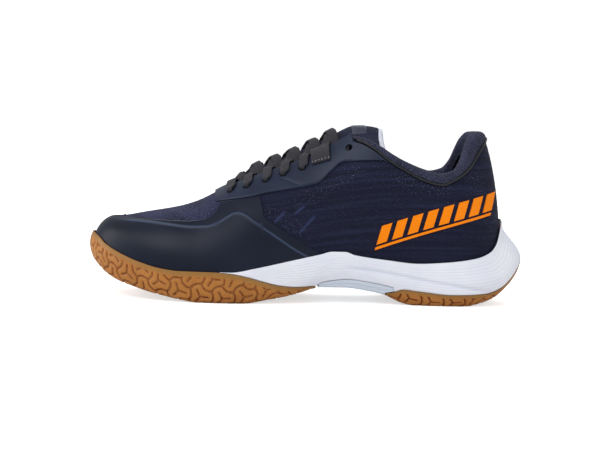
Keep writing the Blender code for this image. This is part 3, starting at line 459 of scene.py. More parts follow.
def makePiece(name, points, faces, cloth=None, paint=None, look=None, sharp=40):
    mesh = bpy.data.meshes.new(name)
    mesh.from_pydata(((np.asarray(points) + middle) * mm).tolist(), [], faces)
    if cloth is not None:
        layer = mesh.uv_layers.new(name="cloth")
        corner = np.empty(len(mesh.loops), np.int32)
        mesh.loops.foreach_get("vertex_index", corner)
        layer.data.foreach_set("uv", np.asarray(cloth, np.float32)[corner].ravel())
    for title, values in (paint or {}).items():
        layer = mesh.attributes.new(title, "FLOAT", "POINT")
        layer.data.foreach_set("value", np.asarray(values, np.float32).ravel())
    shape = bmesh.new()
    shape.from_mesh(mesh)
    bmesh.ops.remove_doubles(shape, verts=shape.verts, dist=2e-5)
    bmesh.ops.dissolve_degenerate(shape, edges=shape.edges, dist=1e-6)
    bmesh.ops.recalc_face_normals(shape, faces=shape.faces)
    shape.to_mesh(mesh)
    shape.free()
    mesh.shade_smooth()
    mesh.set_sharp_from_angle(angle=math.radians(sharp))
    if look:
        mesh.materials.append(look.material)
    piece = bpy.data.objects.new(name, mesh)
    bpy.context.scene.collection.objects.link(piece)
    return piece


def wallSolid(name, outer, inner, look, rims=(True, True), ends=True, paint=None, sharp=40):
    a = np.arange(outer.shape[0] * outer.shape[1]).reshape(outer.shape[:2])
    b = np.arange(inner.shape[0] * inner.shape[1]).reshape(inner.shape[:2]) + a.size
    faces = quadsOf(a) + quadsOf(b)
    for column, wanted in zip((0, -1), rims):
        if wanted:
            faces += quadsOf(np.stack([a[:, column], b[:, column]], 1))
    if ends:
        faces += [a[i].tolist() + b[i][::-1].tolist() for i in (0, -1)]
    points = np.concatenate([outer.reshape(-1, 3), inner.reshape(-1, 3)])
    cloth = np.concatenate([measured(outer), measured(inner)])
    painted = {k: np.concatenate([np.ravel(v), np.zeros(b.size)]) for k, v in (paint or {}).items()}
    return makePiece(name, points, faces, cloth, painted, look, sharp)


def lofted(name, rings, look, caps=True, sharp=50):
    rings = np.asarray(rings)
    count, around = rings.shape[:2]
    index = np.arange(count * around).reshape(count, around)
    faces = quadsOf(np.concatenate([index, index[:, :1]], 1))
    if caps:
        faces += [index[0].tolist(), index[-1].tolist()]
    return makePiece(name, rings.reshape(-1, 3), faces, measured(rings), None, look, sharp)


def normalsOf(grid):
    return unit(np.cross(np.gradient(grid, axis=0), np.gradient(grid, axis=1)))


def smoothStep(value, low, high):
    t = np.clip((value - low) / (high - low), 0, 1)
    return t * t * (3 - 2 * t)


def sewnEdge(count, reach=0.03):
    t = np.linspace(0, 1, count)
    near = np.minimum(t, 1 - t)
    return t, np.sqrt(np.clip(near / reach, 0, 1))


def finishPiece(piece, body, slot, *nodes):
    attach(piece, body)
    if nodes:
        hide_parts(*nodes)
    return piece


# Gum outsole

gum = {
    "pitch": 15.0,
    "groove": 0.85,
    "depth": 1.3,
    "plainRim": 4.5,  # without tread under the top edge
    "grid": 0.8,
    "lobe": 0.2,
    "arm": 0.36,  # of the pitch
    "corner": 1.6,
    "floor": 4.8,
    "frontEnd": 4.0,
    "frontWall": 1.0,
    "heelStart": 52.0,
    "heelWall": 1.8,
}


def gumLook():
    look = Look("gumRubber", SubsurfaceWeight=0.05, SubsurfaceScale=0.002, SpecularIORLevel=0.35)
    groove, rim = look.attribute("groove"), look.attribute("rim")
    cloud = look.noise(look.place(), 55.0, 4.0)
    body = look.mix(shade(180, 118, 50), shade(168, 106, 42), look.spread(cloud, 0.35, 0.65))
    body = look.mix(body, shade(150, 108, 52), rim)
    # painted shade: the groove mask darkens the tread grooves to a deep red-brown, on top of their
    # carved depth
    look.set(BaseColor=look.mix(body, shade(118, 46, 14), groove))
    look.set(Roughness=look.spread(cloud, 0.2, 0.8) * 0.12 + 0.36)
    look.bump(look.noise(look.place(), 900.0, 3.0), 0.0002, 0.25)
    return look


def treadGroove(chart):
    # three-lobed blocks on a hexagonal grid, each with a Y cut in its middle
    pitch = gum["pitch"]
    rise = pitch * math.sqrt(3) / 2
    row = np.round(chart[..., 1] / rise)
    nearest, second, arms = (np.full(chart.shape[:-1], v) for v in (1e9, 1e9, 1e9))
    for down in (-1, 0, 1):
        line = row + down
        shift = np.mod(line, 2) * pitch / 2
        column = np.round((chart[..., 0] - shift) / pitch)
        for across in (-1, 0, 1):
            centre = np.stack([(column + across) * pitch + shift, line * rise], -1)
            gap = chart - centre
            reach = np.linalg.norm(gap, axis=-1)
            angle = np.arctan2(gap[..., 1], gap[..., 0])
            score = reach * (1 - gum["lobe"] * np.cos(3 * angle))
            isNearest = score < nearest
            second = np.where(isNearest, nearest, np.minimum(second, score))
            nearest = np.where(isNearest, score, nearest)
            for k in range(3):
                arm = np.array([math.cos(k * 2 * math.pi / 3), math.sin(k * 2 * math.pi / 3)])
                run = np.clip(gap @ arm, 0, pitch * gum["arm"])
                arms = np.minimum(arms, np.linalg.norm(gap - run[..., None] * arm, axis=-1))
    border = (second - nearest) / 2
    width = gum["groove"]
    return 1 - smoothStep(np.minimum(border, arms), width * 0.25, width * 0.8)


def gumShell(name, rows, topLine, wallThick, look, node):
    x = station(rows)[0][:, 0]
    spine = station(rows)[1]
    low, high = soleBottom(x), topLine(x)
    wallSteps = 26
    t = np.linspace(0, 1, wallSteps)
    corner = np.minimum(gum["corner"], 0.4 * (high - low))
    columns = []
    lip = wallThick * 0.5
    for share in (0.0, 0.5, 1.0):
        angle = share * math.pi / 2
        left = lip * (1 - math.sin(angle))
        columns.append(soleWall(rows, high - left * 0.8, left))
    for share in t[1:]:
        columns.append(soleWall(rows, high - (high - low - corner) * share, 0.0))
    for angle in np.linspace(0, math.pi / 2, 5)[1:]:
        rise, inset = corner * (1 - math.sin(angle)), corner * (1 - math.cos(angle))
        columns.append(soleWall(rows, low + rise, inset))
    wall = np.stack(columns, 1)
    foot = wall[:, -1]
    middlePoint = np.concatenate([spine, soleBottom(spine[:, 0])[:, None]], -1)
    across = np.linspace(0, 1, 64)[1:]
    bottom = foot[:, None] + (middlePoint - foot)[:, None] * across[None, :, None]
    outer = np.concatenate([wall, bottom], 1)
    climb = np.linalg.norm(np.diff(wall, axis=1), axis=2)
    climb = np.concatenate([np.cumsum(climb[:, ::-1], axis=1)[:, ::-1], np.zeros((len(rows), 1))], 1)
    wallChart = foot[:, None, :2] + planNormal(rows)[:, None] * climb[..., None]
    chart = np.concatenate([wallChart, bottom[..., :2]], 1)
    fromTop = np.concatenate([climb[:, :1] - climb, np.full(bottom.shape[:2], 99.0)], 1)
    plain = smoothStep(fromTop, gum["plainRim"] - 0.8, gum["plainRim"] + 0.2)
    groove = treadGroove(chart) * plain
    normals = normalsOf(outer)
    sign = np.sign((normals[..., :2] * (outer[..., :2] - spine[:, None])).sum(-1)[:, :wallSteps].mean())
    outer = outer - normals * sign * (groove * gum["depth"])[..., None]
    outer[..., 2] = np.maximum(outer[..., 2], 0)
    rim = 1 - smoothStep(fromTop, gum["plainRim"] - 3.0, gum["plainRim"] + 0.5)
    floorEdge = np.minimum(low + gum["floor"], high - 0.8)
    shares = np.linspace(0, 1, 5)
    inside = [soleWall(rows, high - (high - floorEdge) * share, wallThick) for share in shares]
    spineFloor = np.minimum(soleBottom(spine[:, 0]) + gum["floor"], topLine(spine[:, 0]) - 0.6)
    insideMiddle = np.concatenate([spine, spineFloor[:, None]], -1)
    edge = inside[-1]
    inside += [edge + (insideMiddle - edge) * share for share in (0.3, 0.65, 1.0)]
    # the groove mask, besides carving the tread, carries the painted shade in the grooves
    paint = {"groove": groove, "rim": rim}
    piece = wallSolid(name, outer, np.stack(inside, 1), look, (True, False), paint=paint, sharp=70)
    finishPiece(piece, "shoe", "gum_rubber", node)


def buildOutsoles():
    look = gumLook()
    front, heel = roundToe(gum["frontEnd"], gum["grid"]), roundHeel(gum["heelStart"], gum["grid"])
    gumShell("forefootOutsole", front, gumTop, gum["frontWall"], look, "outsole_forefoot")
    gumShell("heelOutsole", heel, heelGumTop, gum["heelWall"], look, "outsole_heel")
    print("outsoles made")


# Midsole and arch piece

foam = {
    "grid": 1.3,
    "ribs": 11,
    "ribDepth": 0.16,
    "crease": 0.9,
    "creaseWidth": 1.4,
    "front": -62.0,
    "shank": (5.2, 57.3),  # where the arch piece lies under it
    "gap": 0.3,
    "overGum": 0.4,
    "tuck": 2.2,
    "underFoot": 1.9,
    "lip": 0.9,
}
creaseLine = outline((20, 24.5), (26, 24.8), (50, 22.3), (75, 18), (98, 14.5), (122, 10))


def foamLook():
    look = Look("midsoleFoam", Roughness=0.55, SubsurfaceWeight=0.05, SubsurfaceScale=0.003)
    cloud = look.noise(look.place(), 40.0, 3.0)
    grain = look.noise(look.place(), 1400.0, 2.0)
    body = look.mix(shade(238, 240, 248), shade(229, 232, 244), look.spread(cloud, 0.3, 0.7))
    # painted shade: the rib mask greys the white foam in the rib grooves and along the crease
    look.set(BaseColor=look.mix(body, shade(206, 211, 230), look.attribute("rib") * 0.8))
    look.set(Roughness=grain * 0.1 + 0.5)
    look.bump(grain, 0.0001, 0.4)
    return look


def buildMidsole():
    look = foamLook()
    rows = roundHeel(foam["front"], foam["grid"])
    x = station(rows)[0][:, 0]
    spine = station(rows)[1]
    high = soleTop(x)
    shankFrom, shankTo = foam["shank"]
    onShank = (x > shankFrom) & (x < shankTo)
    gumLine = np.where(x < shankFrom, gumTop(x), heelGumTop(x))
    low = np.where(onShank, shankTop(x), gumLine) + foam["gap"]
    low = np.minimum(low, high - 0.12)
    t = np.linspace(0, 1, 58)
    height = high[:, None] - (high - low)[:, None] * t
    rib = 0.5 - 0.5 * np.cos(2 * math.pi * t * foam["ribs"])
    rib = (rib ** 6) * smoothStep(t, 0.1, 0.18) * (1 - smoothStep(t, 0.86, 0.95))
    rib = rib[None] * smoothStep(x, -50, -20)[:, None]
    crease = height - creaseLine(x)[:, None]
    fade = (smoothStep(x, 20, 34) * (1 - smoothStep(x, 112, 126)))[:, None]
    hollow = np.exp(-((crease / foam["creaseWidth"]) ** 2)) * foam["crease"] * fade
    lowerBulge = smoothStep(-crease, 0, 6) * 0.7 * fade
    edgeRound = np.maximum(0, 1 - np.minimum(t, 1 - t)[None] * (high - low)[:, None]) ** 2 * 0.6
    inset = rib * foam["ribDepth"] + hollow - lowerBulge + edgeRound
    wall = soleWall(rows[:, None], height, inset)
    step = wall[:, -1:] + 0.0
    step[..., :2] -= planNormal(rows)[:, None] * foam["tuck"]
    shelfLow = np.minimum(low, np.where(onShank, low, soleBottom(x) + gum["floor"] + foam["overGum"]))
    fall = np.linspace(0, 1, 6)[1:]
    tuck = soleWall(rows[:, None], low[:, None] - (low - shelfLow)[:, None] * fall, foam["tuck"])
    spineX = np.maximum(spine[:, 0], 58)
    spineGum = np.minimum(soleBottom(spineX) + gum["floor"], heelGumTop(spineX) - foam["gap"])
    spineLow = np.where(x > shankTo, spineGum + foam["overGum"], shelfLow)
    below = np.concatenate([spine, spineLow[:, None]], -1)[:, None]
    outer = np.concatenate([wall, step, tuck, (tuck[:, -1:] + below) / 2, below], 1)
    shelf = featherHeight(x) - foam["underFoot"]
    levels = np.stack([high, (high + featherHeight(x)) / 2, featherHeight(x) + 0.3, shelf], 1)
    inset = np.maximum(upperInset(rows[:, None], levels, 0.4), foam["lip"])
    inner = soleWall(rows[:, None], levels, inset)
    topHigh = featherHeight(spine[:, 0]) - foam["underFoot"]
    top = np.concatenate([spine, topHigh[:, None]], -1)[:, None]
    inner = np.concatenate([inner, (inner[:, -1:] + top) / 2, top], 1)
    # the rib mask is painted shade: it is strongest in the rib grooves and in the crease's hollow
    paint = np.zeros(outer.shape[:2])
    paint[:, : len(t)] = np.clip(rib * 0.5 + hollow / foam["crease"] * 0.35, 0, 1)
    piece = wallSolid("midsoleFoam", outer, inner, look, (True, False), paint={"rib": paint}, sharp=60)
    finishPiece(piece, "shoe", "white_foam", "midsole")
    print("midsole made")


arch = {
    "from": 5.5,
    "to": 57.0,
    "overGum": 0.45,
    "groove": 0.5,
    "grooveAt": 0.62,  # down the wall
    "grooveWide": 0.09,
    "wallSteps": 14,
}


def buildArchPiece():
    look = Look("archPlastic", CoatWeight=0.1)
    cloud = look.noise(look.place(), 60.0, 3.0)
    look.set(BaseColor=look.mix(shade(214, 225, 241), shade(222, 231, 244), cloud))
    look.set(Roughness=cloud * 0.15 + 0.33)
    look.bump(look.noise(look.place(), 1200.0, 2.0), 0.0001, 0.3)
    rings = []
    rows = evenRows(rowAt(arch["from"]), rowAt(arch["to"]), 1.0)
    for row in rows:
        x = float(station(row)[0][0])
        overHeel = heelGumTop(max(x, gum["heelStart"])) + arch["overGum"]
        high, low = float(shankTop(x)), float(soleBottom(x) if x < 51 else overHeel)
        sides = []
        for place in (row, 2 - row):
            t = np.linspace(0, 1, arch["wallSteps"])
            groove = arch["groove"] * np.exp(-(((t - arch["grooveAt"]) / arch["grooveWide"]) ** 2))
            wall = soleWall(np.full(len(t), place), high - (high - low - 0.6) * t, groove)
            head = [soleWall(place, high, inset) for inset in (6.0, 1.0)]
            foot = [soleWall(place, low + up, inset) for up, inset in ((0, 0.7), (0, 5.0), (0.4, 8.0))]
            sides.append(np.concatenate([head, wall, foot]))
        spine = station(row)[1]
        middleLow, middleHigh = np.array([*spine, low + 1.0]), np.array([*spine, high])
        rings.append(np.concatenate([sides[0], [middleLow], sides[1][::-1], [middleHigh]]))
    rings = np.array(rings)
    rings[0, :, 0], rings[-1, :, 0] = arch["from"], arch["to"]
    finishPiece(lofted("archPiece", rings, look), "shoe", "pale_plastic", "arch_shank")
    print("arch piece made")


# Cloth and film looks

def knitLook(name, dark, light, fleck, stitch=1.5, fleckAmount=0.25, relief=0.00035):
    look = Look(name, Roughness=0.85, SheenWeight=0.03, SpecularIORLevel=0.1)
    cloth, u, v = look.cloth()
    slant = (u + v) * (2 * math.pi / stitch)
    cross = (u - v) * (2 * math.pi / stitch)
    knit = slant.maths("SINE") * cross.maths("SINE") * 0.5 + 0.5
    patch = look.noise(cloth, 0.06, 3.0)
    speck = look.spread(look.noise(cloth, 0.9, 1.0), 0.62 - fleckAmount * 0.3, 0.72)
    body = look.mix(dark, light, look.spread(patch, 0.35, 0.65) * 0.6 + knit * 0.4)
    look.set(BaseColor=look.mix(body, fleck, speck * fleckAmount))
    look.set(Roughness=knit * 0.12 + 0.76)
    look.bump(knit + look.noise(cloth, 1.6, 2.0) * 0.6, relief, 0.7)
    return look


def quarterLook():
    look = Look("quarterMesh", Roughness=0.8, SheenWeight=0.03, SpecularIORLevel=0.1)
    cloth, u, v = look.cloth()
    thread = ((u + v * 0.8) * (2 * math.pi / 1.1)).maths("SINE") * 0.5 + 0.5
    cross = ((u - v * 1.2) * (2 * math.pi / 1.7)).maths("SINE") * 0.5 + 0.5
    long = look.add("ShaderNodeMapping", None, {0: cloth, 2: (0, 0, -0.72), 3: (0.012, 0.35, 1)})
    streak = look.spread(look.noise(long, 1.0, 3.0), 0.42, 0.68)
    speck = look.spread(look.noise(cloth, 1.0, 1.0), 0.6, 0.75)
    band = look.attribute("band")
    body = look.mix(shade(15, 17, 32), shade(42, 46, 74), streak * 0.35 + thread * 0.45)
    body = look.mix(body, shade(98, 100, 120), speck * (band * 0.55 + 0.25))
    look.set(BaseColor=look.mix(body, shade(62, 72, 116), look.attribute("accent") * 0.4))
    look.set(Roughness=thread * 0.15 + 0.7)
    look.bump(thread * 0.6 + cross * 0.4 + speck * 0.5, 0.0003, 0.6)
    return look


def filmLook(name, dark, light):
    look = Look(name, Roughness=0.4, SpecularIORLevel=0.2)
    cloud = look.noise(look.place(), 30.0, 4.0)
    grain = look.noise(look.place(), 1600.0, 2.0)
    body = look.mix(dark, light, look.spread(cloud, 0.3, 0.7))
    # painted highlight: a pale blue-grey line along the toe guard's raised ridge
    look.set(BaseColor=look.mix(body, shade(70, 84, 112), look.attribute("ridgeHighlight") * 0.7))
    look.set(Roughness=look.spread(cloud, 0.2, 0.8) * 0.08 + 0.34)
    look.bump(grain, 0.00012, 0.35)
    return look


def plainLook(name, dark, light, rough, scale=400.0, relief=0.0002):
    look = Look(name)
    grain = look.noise(look.place(), scale, 3.0)
    look.set(BaseColor=look.mix(dark, light, look.spread(grain, 0.3, 0.7)))
    look.set(Roughness=grain * 0.15 + (rough - 0.07))
    look.bump(grain, relief, 0.5)
    return look


def spacerLook():
    look = Look("spacerLining", Roughness=0.95, SpecularIORLevel=0.2)
    cloth = look.cloth()[0]
    cell = look.spread(look.cells(cloth, 0.42, "DISTANCE_TO_EDGE"), 0.04, 0.3)
    # painted shade: the cell middles, the spacer mesh's holes, are darkened
    look.set(BaseColor=look.mix(shade(64, 63, 68), shade(28, 27, 31), cell))
    look.set(Roughness=cell * 0.05 + 0.9)
    look.bump(1 - cell, 0.0006, 0.9)
    return look


def laceLook():
    look = Look("laceWeave", Roughness=0.8, SheenWeight=0.06, SpecularIORLevel=0.25)
    cloth, u, v = look.cloth()
    slant = u * 0.9 + (v - 3.2).maths("ABSOLUTE") * 1.1
    rib = (slant * (2 * math.pi / 1.25)).maths("SINE") * 0.5 + 0.5
    cross = (v * (2 * math.pi / 0.8)).maths("SINE") * 0.5 + 0.5
    fuzz = look.noise(cloth, 2.2, 3.0)
    look.set(BaseColor=look.mix(shade(20, 20, 25), shade(76, 74, 82), rib * 0.6 + fuzz * 0.3))
    look.set(Roughness=rib * 0.1 + 0.75)
    look.bump(rib * 0.7 + cross * 0.3 + fuzz * 0.4, 0.0003, 0.9)
    return look


# The upper's panels

panel = {
    "grid": 1.1,
    "mesh": (-1.4, -2.4),
    "film": (0.0, -0.8),
    "lining": (-4.7, -5.5),
    "ridgeHeight": 0.45,
    "ridgeWidth": 0.6,
}


def panelGrids(rows, low, high, columns, depths, relief=None):
    t, edge = sewnEdge(columns)
    turns = low[:, None] + (high - low)[:, None] * t
    row = np.broadcast_to(rows[:, None], turns.shape)
    points, normals = onLast(row, turns), outward(row, turns)
    depthOut, depthIn = (d(points) if callable(d) else np.full(turns.shape, d) for d in depths)
    thick = (depthOut - depthIn) * (0.35 + 0.65 * edge)
    bump = relief(points) if relief else 0.0
    outer = points + normals * (depthIn + thick + bump)[..., None]
    innerColumns = slice(None, None, 3) if (columns - 1) % 3 == 0 else slice(None)
    return outer, (points + normals * depthIn[..., None])[:, innerColumns], points


def nearLine(points, line, low, high):
    x, z = points[..., 0], points[..., 2]
    gap = z - line(x)
    slope = (line(x + 0.5) - line(x - 0.5))
    return np.where((x > low) & (x < high), np.abs(gap) / np.sqrt(1 + slope**2), 99.0)


def nearSegment(points, start, end):
    place = points[..., [0, 2]]
    along = np.subtract(end, start)
    share = np.clip(((place - start) @ along) / (along @ along), 0, 1)
    return np.linalg.norm(place - (start + share[..., None] * along), axis=-1)


ridgeLine = outline(
    (-151, 51), (-132, 52), (-118, 52), (-98, 51), (-83, 50), (-72, 50.6), (-64, 53.2), (-57, 57.6),
    (-53, 59.7), (-50, 60.1), (-46, 58.9), (-40, 54.9), (-26, 46), (-12, 37), (-3, 32), (5, 27)
)
accents = (((-25, 56), (-19, 62)), ((-11, 62), (-6, 66)), ((-8, 49), (1, 59)))
paleBands = (
    ((-28, 60), (-8, 50), 7),
    ((30, 92), (-10, 68), 6),
    ((60, 88), (90, 80), 7),
    ((108, 96), (126, 60), 7),
)


def buildVamp():
    tones = shade(24, 26, 46), shade(50, 53, 86), shade(112, 116, 148)
    look = knitLook("vampMesh", *tones, fleckAmount=0.4)
    rows = roundToe(-61.5, panel["grid"])
    quarterTurn = np.full(len(rows), math.pi / 2)

    def weave(points):
        return 0.06 * np.sin(points[..., 0] * 1.9) * np.sin(points[..., 1] * 1.9)

    outer, inner, _ = panelGrids(rows, rows * 0, quarterTurn, 43, panel["mesh"], weave)
    piece = wallSolid("vampKnit", outer, inner, look, (True, False))
    finishPiece(piece, "shoe", "navy_mesh", "vamp_mesh")
    rows = roundToe(-67, 3.0)
    outer, inner, _ = panelGrids(rows, rows * 0 + 0.12, rows * 0 + math.pi / 2, 25, panel["lining"])
    piece = wallSolid("vampLiningCloth", outer, inner, spacerLook(), (True, False))
    finishPiece(piece, "shoe", "lining", "vamp_lining")
    print("vamp made")


def buildQuarter():
    rows = roundHeel(-59.4, panel["grid"])
    x = station(rows)[0][:, 0]

    def topLine(place):
        foot = eyestayFoot(place) + 4
        piping = pipingLine(place) - 0.45
        return np.where(place < 51, np.minimum(foot, piping), piping)

    high = turnOn(rows, topLine)

    def weave(points):
        return 0.05 * np.sin((points[..., 0] + points[..., 2]) * 1.7)

    outer, inner, points = panelGrids(rows, rows * 0, high, 61, panel["mesh"], weave)
    accent = np.zeros(points.shape[:2])
    for start, end in accents:
        accent = np.maximum(accent, 1 - smoothStep(nearSegment(points, start, end), 0.4, 1.3))
    band = np.zeros(points.shape[:2])
    for start, end, wide in paleBands:
        band = np.maximum(band, 1 - smoothStep(nearSegment(points, start, end), wide * 0.2, wide * 1.3))
    paint = {"accent": accent, "band": band}
    piece = wallSolid("quarterCloth", outer, inner, quarterLook(), paint=paint)
    finishPiece(piece, "shoe", "dark_mesh", "quarter_mesh")

    rows = roundHeel(-61, 2.0)
    x = station(rows)[0][:, 0]
    rim = onLast(rows, turnOn(rows, rimLine))[:, 2]
    low = turnOn(rows, lambda place: np.minimum(eyestayFoot(place) - 2, 91))
    high = np.where(x < 27, low, turnAt(rows, np.minimum(rim - 14.5, np.where(x < 50, 91, 200))))

    def pad(points):
        return np.maximum((padDepth(points[..., 0]) - 5.5) * padRise(points[..., 2]), 0)

    depths = (lambda p: -4.7 - pad(p), lambda p: -5.5 - pad(p))
    outer, inner, _ = panelGrids(rows, rows * 0 + 0.12, high, 40, depths)
    piece = wallSolid("quarterLiningCloth", outer, inner, spacerLook())
    finishPiece(piece, "shoe", "lining", "quarter_lining")
    print("quarter made")


def buildToeGuard():
    look = filmLook("toeFilm", shade(13, 20, 36), shade(20, 28, 47))
    rows = roundToe(4, 0.9)
    x = station(rows)[0][:, 0]
    lines = (guardTop, lambda place: eyestayFoot(place) - 0.45, guardRear)
    tops = [turnOn(rows, line) for line in lines]
    high = np.where(x < -63, tops[0], np.where(x < -36, tops[1], tops[2]))
    low = turnOn(rows, lambda place: soleTop(place) - 5)
    high = np.maximum(high, low + 0.002)

    def ridgeAt(points):
        gap = nearLine(points, ridgeLine, -140, 4)
        return np.exp(-((gap / panel["ridgeWidth"]) ** 2)) * smoothStep(points[..., 0], -138, -120)

    relief = lambda points: ridgeAt(points) * panel["ridgeHeight"]
    outer, inner, points = panelGrids(rows, low, high, 73, panel["film"], relief)
    # the raised ridge also gets a painted highlight through this mask
    piece = wallSolid("toeGuardFilm", outer, inner, look, paint={"ridgeHighlight": ridgeAt(points)})
    finishPiece(piece, "shoe", "navy_film", "toe_guard")
    print("toe guard made")


eyelets = ((-56, 74.3), (-45, 78.0), (-32, 82.5), (-20, 87.0), (-7, 91.5), (6, 97.5), (17, 105))
spareEyelet = (24.5, 106.5)
eyeletSize = 5.2
eyestay = {
    "grid": 0.9,
    "front": -66.0,
    "rear": 50.0,
    "slit": ((-21, 84), (-6, 79)),
    "slitDeep": 0.35,
    "slitWide": 0.9,
    "tape": (-1.3, -2.1),
    "tapeWide": 7.0,  # how far its foot is over the film's
}


def sideSpot(x, z, side, depth):
    low, high = 0.0, 1.0
    for _ in range(26):
        row = (low + high) / 2
        low, high = (row, high) if onLast(row, turnAt(row, z))[0] < x else (low, row)
    row = low if side == 0 else 2 - low
    turn = turnAt(row, z)
    normal = outward(row, turn)
    return onLast(row, turn) + normal * depth, normal


def punched(piece, side, places, radius):
    shape = bmesh.new()
    for x, z in places:
        point, normal = sideSpot(x, z, side, 0)
        turn = Vector(normal).to_track_quat("Z", "Y").to_matrix().to_4x4()
        turn.translation = Vector((point + middle) * mm)
        sizes = {"radius1": radius * mm, "radius2": radius * mm, "depth": 8 * mm}
        bmesh.ops.create_cone(shape, cap_ends=True, segments=24, matrix=turn, **sizes)
    mesh = bpy.data.meshes.new("holes")
    shape.to_mesh(mesh)
    shape.free()
    cutter = bpy.data.objects.new("holes", mesh)
    bpy.context.scene.collection.objects.link(cutter)
    cut = piece.modifiers.new("holes", "BOOLEAN")
    cut.operation, cut.object, cut.solver = "DIFFERENCE", cutter, "MANIFOLD"
    bakeModifiers(piece)
    bpy.data.objects.remove(cutter)


def bakeModifiers(piece):
    graph = bpy.context.evaluated_depsgraph_get()
    mesh = bpy.data.meshes.new_from_object(piece.evaluated_get(graph))
    piece.modifiers.clear()
    old, piece.data = piece.data, mesh
    mesh.name = piece.name
    bpy.data.meshes.remove(old)


def buildEyestays():
    look = filmLook("eyestayFilm", shade(30, 38, 57), shade(38, 47, 68))
    backingLook = plainLook("eyestayBacking", shade(22, 22, 26), shade(34, 34, 40), 0.8)
    for side, name in enumerate(("Lateral", "Medial")):
        rows = sideRows(eyestay["front"], eyestay["rear"], side, eyestay["grid"])
        x = station(rows)[0][:, 0]
        throat, piping = turnOn(rows, throatLine), turnOn(rows, lambda place: pipingLine(place) - 1.7)
        high = np.where(x < -61, math.pi / 2 - 0.04, np.where(x < 26.5, throat, piping))
        low = np.minimum(turnOn(rows, eyestayFoot), high - 0.01)

        def slitAt(points):
            return np.exp(-((nearSegment(points, *eyestay["slit"]) / eyestay["slitWide"]) ** 2))

        relief = lambda points: -eyestay["slitDeep"] * slitAt(points)
        outer, inner, points = panelGrids(rows, low, high, 31, panel["film"], relief)
        piece = wallSolid(f"eyestayFilm{name}", outer, inner, look)
        punched(piece, side, eyelets[:-1] + (spareEyelet,), eyeletSize / 2)
        finishPiece(piece, "shoe", "navy_film", f"eyestay_{name.lower()}")
        rows = sideRows(-57, 24, side, 1.5)
        low = turnOn(rows, lambda place: eyestayFoot(place) + eyestay["tapeWide"])
        outer, inner, _ = panelGrids(rows, low, turnOn(rows, throatLine), 13, eyestay["tape"])
        piece = wallSolid(f"eyestayTape{name}", outer, inner, backingLook)
        punched(piece, side, eyelets[:-1], eyeletSize / 2)
        finishPiece(piece, "shoe", "black_trim", f"eyestay_backing_{name.lower()}")
    print("eyestays made")


# Collar, tongue, insole

collar = {
    "grid": 1.6,
    "puff": 0.5,
    "front": 27.0,
    "behindSurface": 0.9,
    "knitWall": 1.4,
    "cord": 0.8,
    "cordFront": 30.0,
    "cordDepth": -0.6,
}


def buildCollar():
    tones = shade(30, 32, 48), shade(62, 64, 90), shade(104, 106, 130)
    look = knitLook("collarKnit", *tones, 2.6, 0.5, 0.0011)
    rows = roundHeel(collar["front"], collar["grid"])
    rimTurn, seamTurn = turnOn(rows, rimLine), turnOn(rows, pipingLine)
    rim, seam = onLast(rows, rimTurn), onLast(rows, seamTurn)
    depth = padDepth(rim[:, 0])
    outDepth, inDepth = -collar["behindSurface"] + 0 * depth, -depth
    core, radius = (outDepth + inDepth) / 2, (outDepth - inDepth) / 2
    top = rim[:, 2]
    start = np.minimum(seam[:, 2] + 0.3, top - 0.8)
    columns = []
    shoulder = np.maximum(top - radius, start + 0.2)
    for share in np.linspace(0, 1, 9):
        swell = collar["puff"] * math.sin(math.pi * min(share, 0.5))
        columns.append((start + (shoulder - start) * share, outDepth - 0.6 * (1 - share) ** 4 + swell))
    for angle in np.linspace(0, math.pi, 15)[1:]:
        height = shoulder + (top - shoulder) * math.sin(angle)
        reach = radius + collar["puff"] * math.cos(angle / 2)
        columns.append((height, core + reach * math.cos(angle)))
    foot = np.minimum(top - (depth - collar["knitWall"]) / 2 - 7.5, shoulder - 0.4)
    for share in np.linspace(0, 1, 9)[1:]:
        columns.append((shoulder + (foot - shoulder) * share, inDepth))
    outer = np.stack([under(rows, z, d) for z, d in columns], 1)
    inner = np.stack([under(rows, z, core) for z in (start, (start + foot) / 2, foot)], 1)
    piece = wallSolid("collarPad", outer, inner, look)
    finishPiece(piece, "shoe", "slate_knit", "collar_knit", "collar_foam")

    cordLook = plainLook("pipingCord", shade(13, 13, 16), shade(26, 26, 30), 0.6)
    rows = roundHeel(collar["cordFront"], collar["grid"])
    turn = turnOn(rows, pipingLine)
    line = onLast(rows, turn) + outward(rows, turn) * collar["cordDepth"]
    cord = lofted("collarPipingCord", tubeRings(line, collar["cord"], 10), cordLook)
    finishPiece(cord, "shoe", "black_trim", "collar_piping")
    print("collar made")


def tubeRings(line, radius, around):
    ahead = unit(np.gradient(line, axis=0))
    across = unit(np.cross(ahead, (0, 0, 1)))
    up = np.cross(across, ahead)
    angle = np.linspace(0, 2 * math.pi, around, endpoint=False)[:, None]
    return line[:, None] + radius * (across[:, None] * np.cos(angle) + up[:, None] * np.sin(angle))


tongue = {
    "front": -64.0,
    "rear": 50.0,
    "drop": 4.2,
    "thick": 6.5,
    "medialThroat": 0.72,
}
label = {"from": 27.5, "to": 38.0, "half": 0.42}  # half of it, as a share of the tongue's half


def tongueCrestHigh(x):
    return tongueCrest(x) + 0.5


def rowsAt(x):
    return np.arccos(1 - 2 * (x - last["toe"]) / (last["heel"] - last["toe"])) / math.pi


